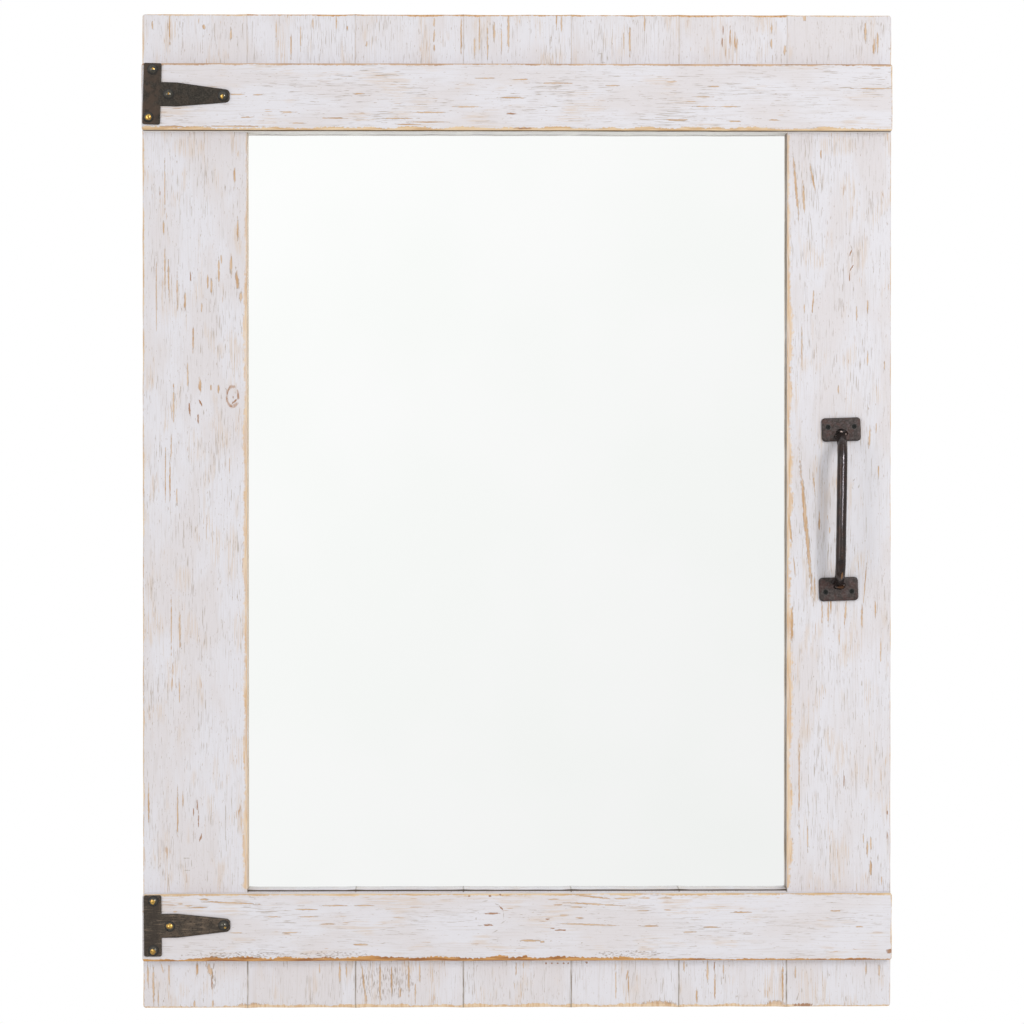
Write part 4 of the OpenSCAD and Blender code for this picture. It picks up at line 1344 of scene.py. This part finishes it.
def screw_iron():
    """The pull's screws, with the plates' own face round a near-black painted shade over the driver's
    recess.
    """
    f = Finish("screw_iron", 0.45, 0.6)
    mottle = f.noise((0.8, 0.8, 0.8), 5.0, detail=3)
    drive = 2 * PULL_DRIVE_R / MM
    recess = f.most([f.spot(x / MM, z / MM, drive, drive) for x, z in centres("pull_screws")])
    face = f.mix(f.step(mottle, 0.4, 0.62), srgb(54, 48, 46), srgb(78, 72, 70))
    # Painted shade: the driver's recess is coloured near black.
    colour = f.mix(f.step(recess, SPOT_RIM - 0.12, SPOT_RIM + 0.08), face, srgb(22, 24, 22))
    return f.finish(colour, f.plus(0.35, f.times(mottle, 0.25)), f.times(mottle, 0.2))


def silvered_glass():
    """A clean mirror with the faintest green and a little unevenness in its polish."""
    f = Finish("silvered_glass", 0.0, 1.0)
    cloud = f.noise((120, 120, 120), 1.0)
    colour = f.mix(f.step(cloud, 0.3, 0.7), srgb(254, 255, 254), srgb(252, 254, 252))
    return f.finish(colour, f.times(f.step(cloud, 0.4, 0.9), 0.01))


def zinc():
    """Zinc plate with its soft spangle and a little grey bloom."""
    f = Finish("zinc_plate", 0.35, 0.9)
    spangle = f.noise((2.2, 2.2, 2.2), 3.0, detail=1)
    bloom = f.noise((9, 9, 9), 5.0, detail=3)
    colour = f.mix(f.step(spangle, 0.42, 0.6), srgb(196, 197, 196), srgb(168, 170, 172))
    colour = f.mix(f.times(f.step(bloom, 0.52, 0.7), 0.6), colour, srgb(150, 148, 142))
    return f.finish(colour, f.plus(0.28, f.times(bloom, 0.25)), f.times(spangle, 0.05))


def hardboard():
    """Pressed brown fibre, smooth side out, with darker flecks."""
    f = Finish("pressed_fibre", 0.55)
    cloud = f.noise((70, 70, 70), 2.0, detail=3)
    fleck = f.noise((1.6, 1.6, 0.9), 6.0)
    colour = f.mix(f.step(cloud, 0.35, 0.65), srgb(146, 106, 70), srgb(124, 86, 54))
    colour = f.mix(f.times(f.step(fleck, 0.58, 0.68), 0.6), colour, srgb(92, 60, 36))
    return f.finish(colour, f.plus(0.45, f.times(cloud, 0.2)), f.times(fleck, 0.08))


def grey_card():
    """Soft grey packing card."""
    f = Finish("packing_card_grey", 0.9)
    fibre = f.noise((0.9, 0.9, 3.0), 1.0, detail=3)
    colour = f.mix(f.step(fibre, 0.35, 0.65), srgb(190, 184, 174), srgb(166, 160, 150))
    return f.finish(colour, height=f.times(fibre, 0.1))


def clear_rubber():
    """Milky soft rubber that has caught a little dust."""
    f = Finish("clear_rubber", 0.5)
    dust = f.noise((1.5, 1.5, 1.5), 2.0, detail=3)
    colour = f.mix(f.step(dust, 0.45, 0.7), srgb(214, 214, 208), srgb(186, 184, 174))
    f.shader.inputs["Subsurface Weight"].default_value = 0.3
    f.shader.inputs["Subsurface Radius"].default_value = (0.002, 0.002, 0.002)
    return f.finish(colour, f.plus(0.38, f.times(dust, 0.3)), f.times(dust, 0.05))


# Setting


def look_from():
    """The camera, aimed so that the mirror stands where the photograph has it."""
    bpy.ops.object.camera_add(location=CAMERA_AT)
    camera = bpy.context.object
    camera.rotation_euler = (CAMERA_AIM - CAMERA_AT).to_track_quat("-Z", "Y").to_euler()
    camera.data.sensor_width = SENSOR
    camera.data.lens = SENSOR * (BOARD_Y - CAMERA_AT.y) / (PHOTO_PX * METRES_PER_PX)
    bpy.context.scene.camera = camera


def softbox(name, place, width, height, power):
    """An upright lamp that looks at the mirror."""
    bpy.ops.object.light_add(type="AREA", location=place)
    lamp = bpy.context.object
    lamp.name = name
    lamp.data.shape = "RECTANGLE"
    lamp.data.size = width
    lamp.data.size_y = height
    lamp.data.energy = power
    lamp.rotation_euler = (-Vector(place)).to_track_quat("-Z", "Y").to_euler()


def pale_room():
    """An even white room. What metal and glass see of it greys a little low down and to the right."""
    world = bpy.data.worlds.new("pale_room")
    bpy.context.scene.world = world
    world.use_nodes = True
    nodes, links = world.node_tree.nodes, world.node_tree.links
    background = nodes["Background"]
    path = nodes.new("ShaderNodeLightPath").outputs
    split = nodes.new("ShaderNodeSeparateXYZ")
    links.new(nodes.new("ShaderNodeTexCoord").outputs["Generated"], split.inputs[0])

    def work(operation, a, b):
        node = nodes.new("ShaderNodeMath")
        node.operation = operation
        for socket, value in zip(node.inputs, (a, b)):
            if isinstance(value, bpy.types.NodeSocket):
                links.new(value, socket)
            else:
                socket.default_value = value
        return node.outputs[0]

    slope = work("MULTIPLY", work("SUBTRACT", split.outputs["Z"], split.outputs["X"]), ROOM_SLOPE)
    seen = work("MINIMUM", work("MAXIMUM", work("ADD", slope, ROOM_MIDDLE), ROOM_DARKEST), 1.0)
    mirrored = work("MAXIMUM", path["Is Glossy Ray"], path["Is Transmission Ray"])
    lift = work("MULTIPLY", mirrored, work("SUBTRACT", seen, ROOM_LIGHT))
    strength = work("MAXIMUM", work("ADD", lift, ROOM_LIGHT), path["Is Camera Ray"])
    links.new(strength, background.inputs["Strength"])
    background.inputs["Color"].default_value = (1, 1, 1, 1)


def pale_floor():
    """The floor, well below the hanging mirror."""
    bpy.ops.object.select_all(action="DESELECT")
    bpy.ops.mesh.primitive_plane_add(size=2 * FLOOR_HALF, location=(0, 0, FLOOR_Z))
    floor = bpy.context.object
    floor.name = "floor"
    material = bpy.data.materials.new("pale_floor")
    material.use_nodes = True
    shader = material.node_tree.nodes["Principled BSDF"]
    shader.inputs["Base Color"].default_value = srgb(240, 239, 237)
    shader.inputs["Roughness"].default_value = 0.8
    floor.data.materials.append(material)


bpy.context.scene.view_settings.view_transform = "Standard"
look_from()
pale_room()
for name, settings in LAMPS.items():
    softbox(name, *settings)
pale_floor()

for node, piece in build_planks().items():
    cover(piece, whitewash(node))
upper_iron = black_iron("upper_plate_iron", srgb(50, 46, 41), srgb(66, 57, 49), srgb(76, 70, 62), PLATE_Y,
                        leaf=srgb(74, 61, 52))
lower_iron = black_iron("lower_plate_iron", srgb(66, 59, 52), srgb(94, 81, 69), srgb(140, 122, 104), PLATE_Y,
                        streaks=(11.0, 4.0, 1.0), leaf=srgb(52, 47, 43))
for end, turn, drop, plate_iron in (
        ("upper", UPPER_TURN, UPPER_DROP, upper_iron), ("lower", LOWER_TURN, LOWER_DROP, lower_iron)):
    cover(build_t_plate(f"{end}_hinge_plate", f"{end}_rail", turn, drop), plate_iron)
    cover(build_nails(f"{end}_hinge_nails"), darkened_brass(f"{end}_hinge_nails"))
    fix_iron = black_iron(f"{end}_fixing_iron", srgb(60, 54, 52), srgb(76, 56, 52), srgb(96, 88, 88), FIX_Y)
    cover(build_fixing_plate(f"pull_{end}_plate"), fix_iron)
grip_iron = black_iron("grip_iron", srgb(48, 43, 42), srgb(62, 46, 40), srgb(80, 74, 74),
                       streaks=(1.6, 3.0, 26.0), roughness=0.2, bump=0.1, stains_and_highlights=GRIP_STAINS_AND_HIGHLIGHTS)
cover(build_grip(), grip_iron)
cover(build_bumpers(), clear_rubber())

cover(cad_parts["mirror_glass"], silvered_glass())
cover(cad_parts["packing_card"], grey_card())
cover(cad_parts["backing_board"], hardboard())
cover(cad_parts["pull_screws"], screw_iron())
zinc_plate = zinc()
for node in ("upper_rail_screws", "lower_rail_screws", "backing_screws"):
    cover(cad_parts[node], zinc_plate)
for side in ("left", "right"):
    for part in ("strap", "ring", "screws"):
        cover(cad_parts[f"{side}_hanger_{part}"], zinc_plate)
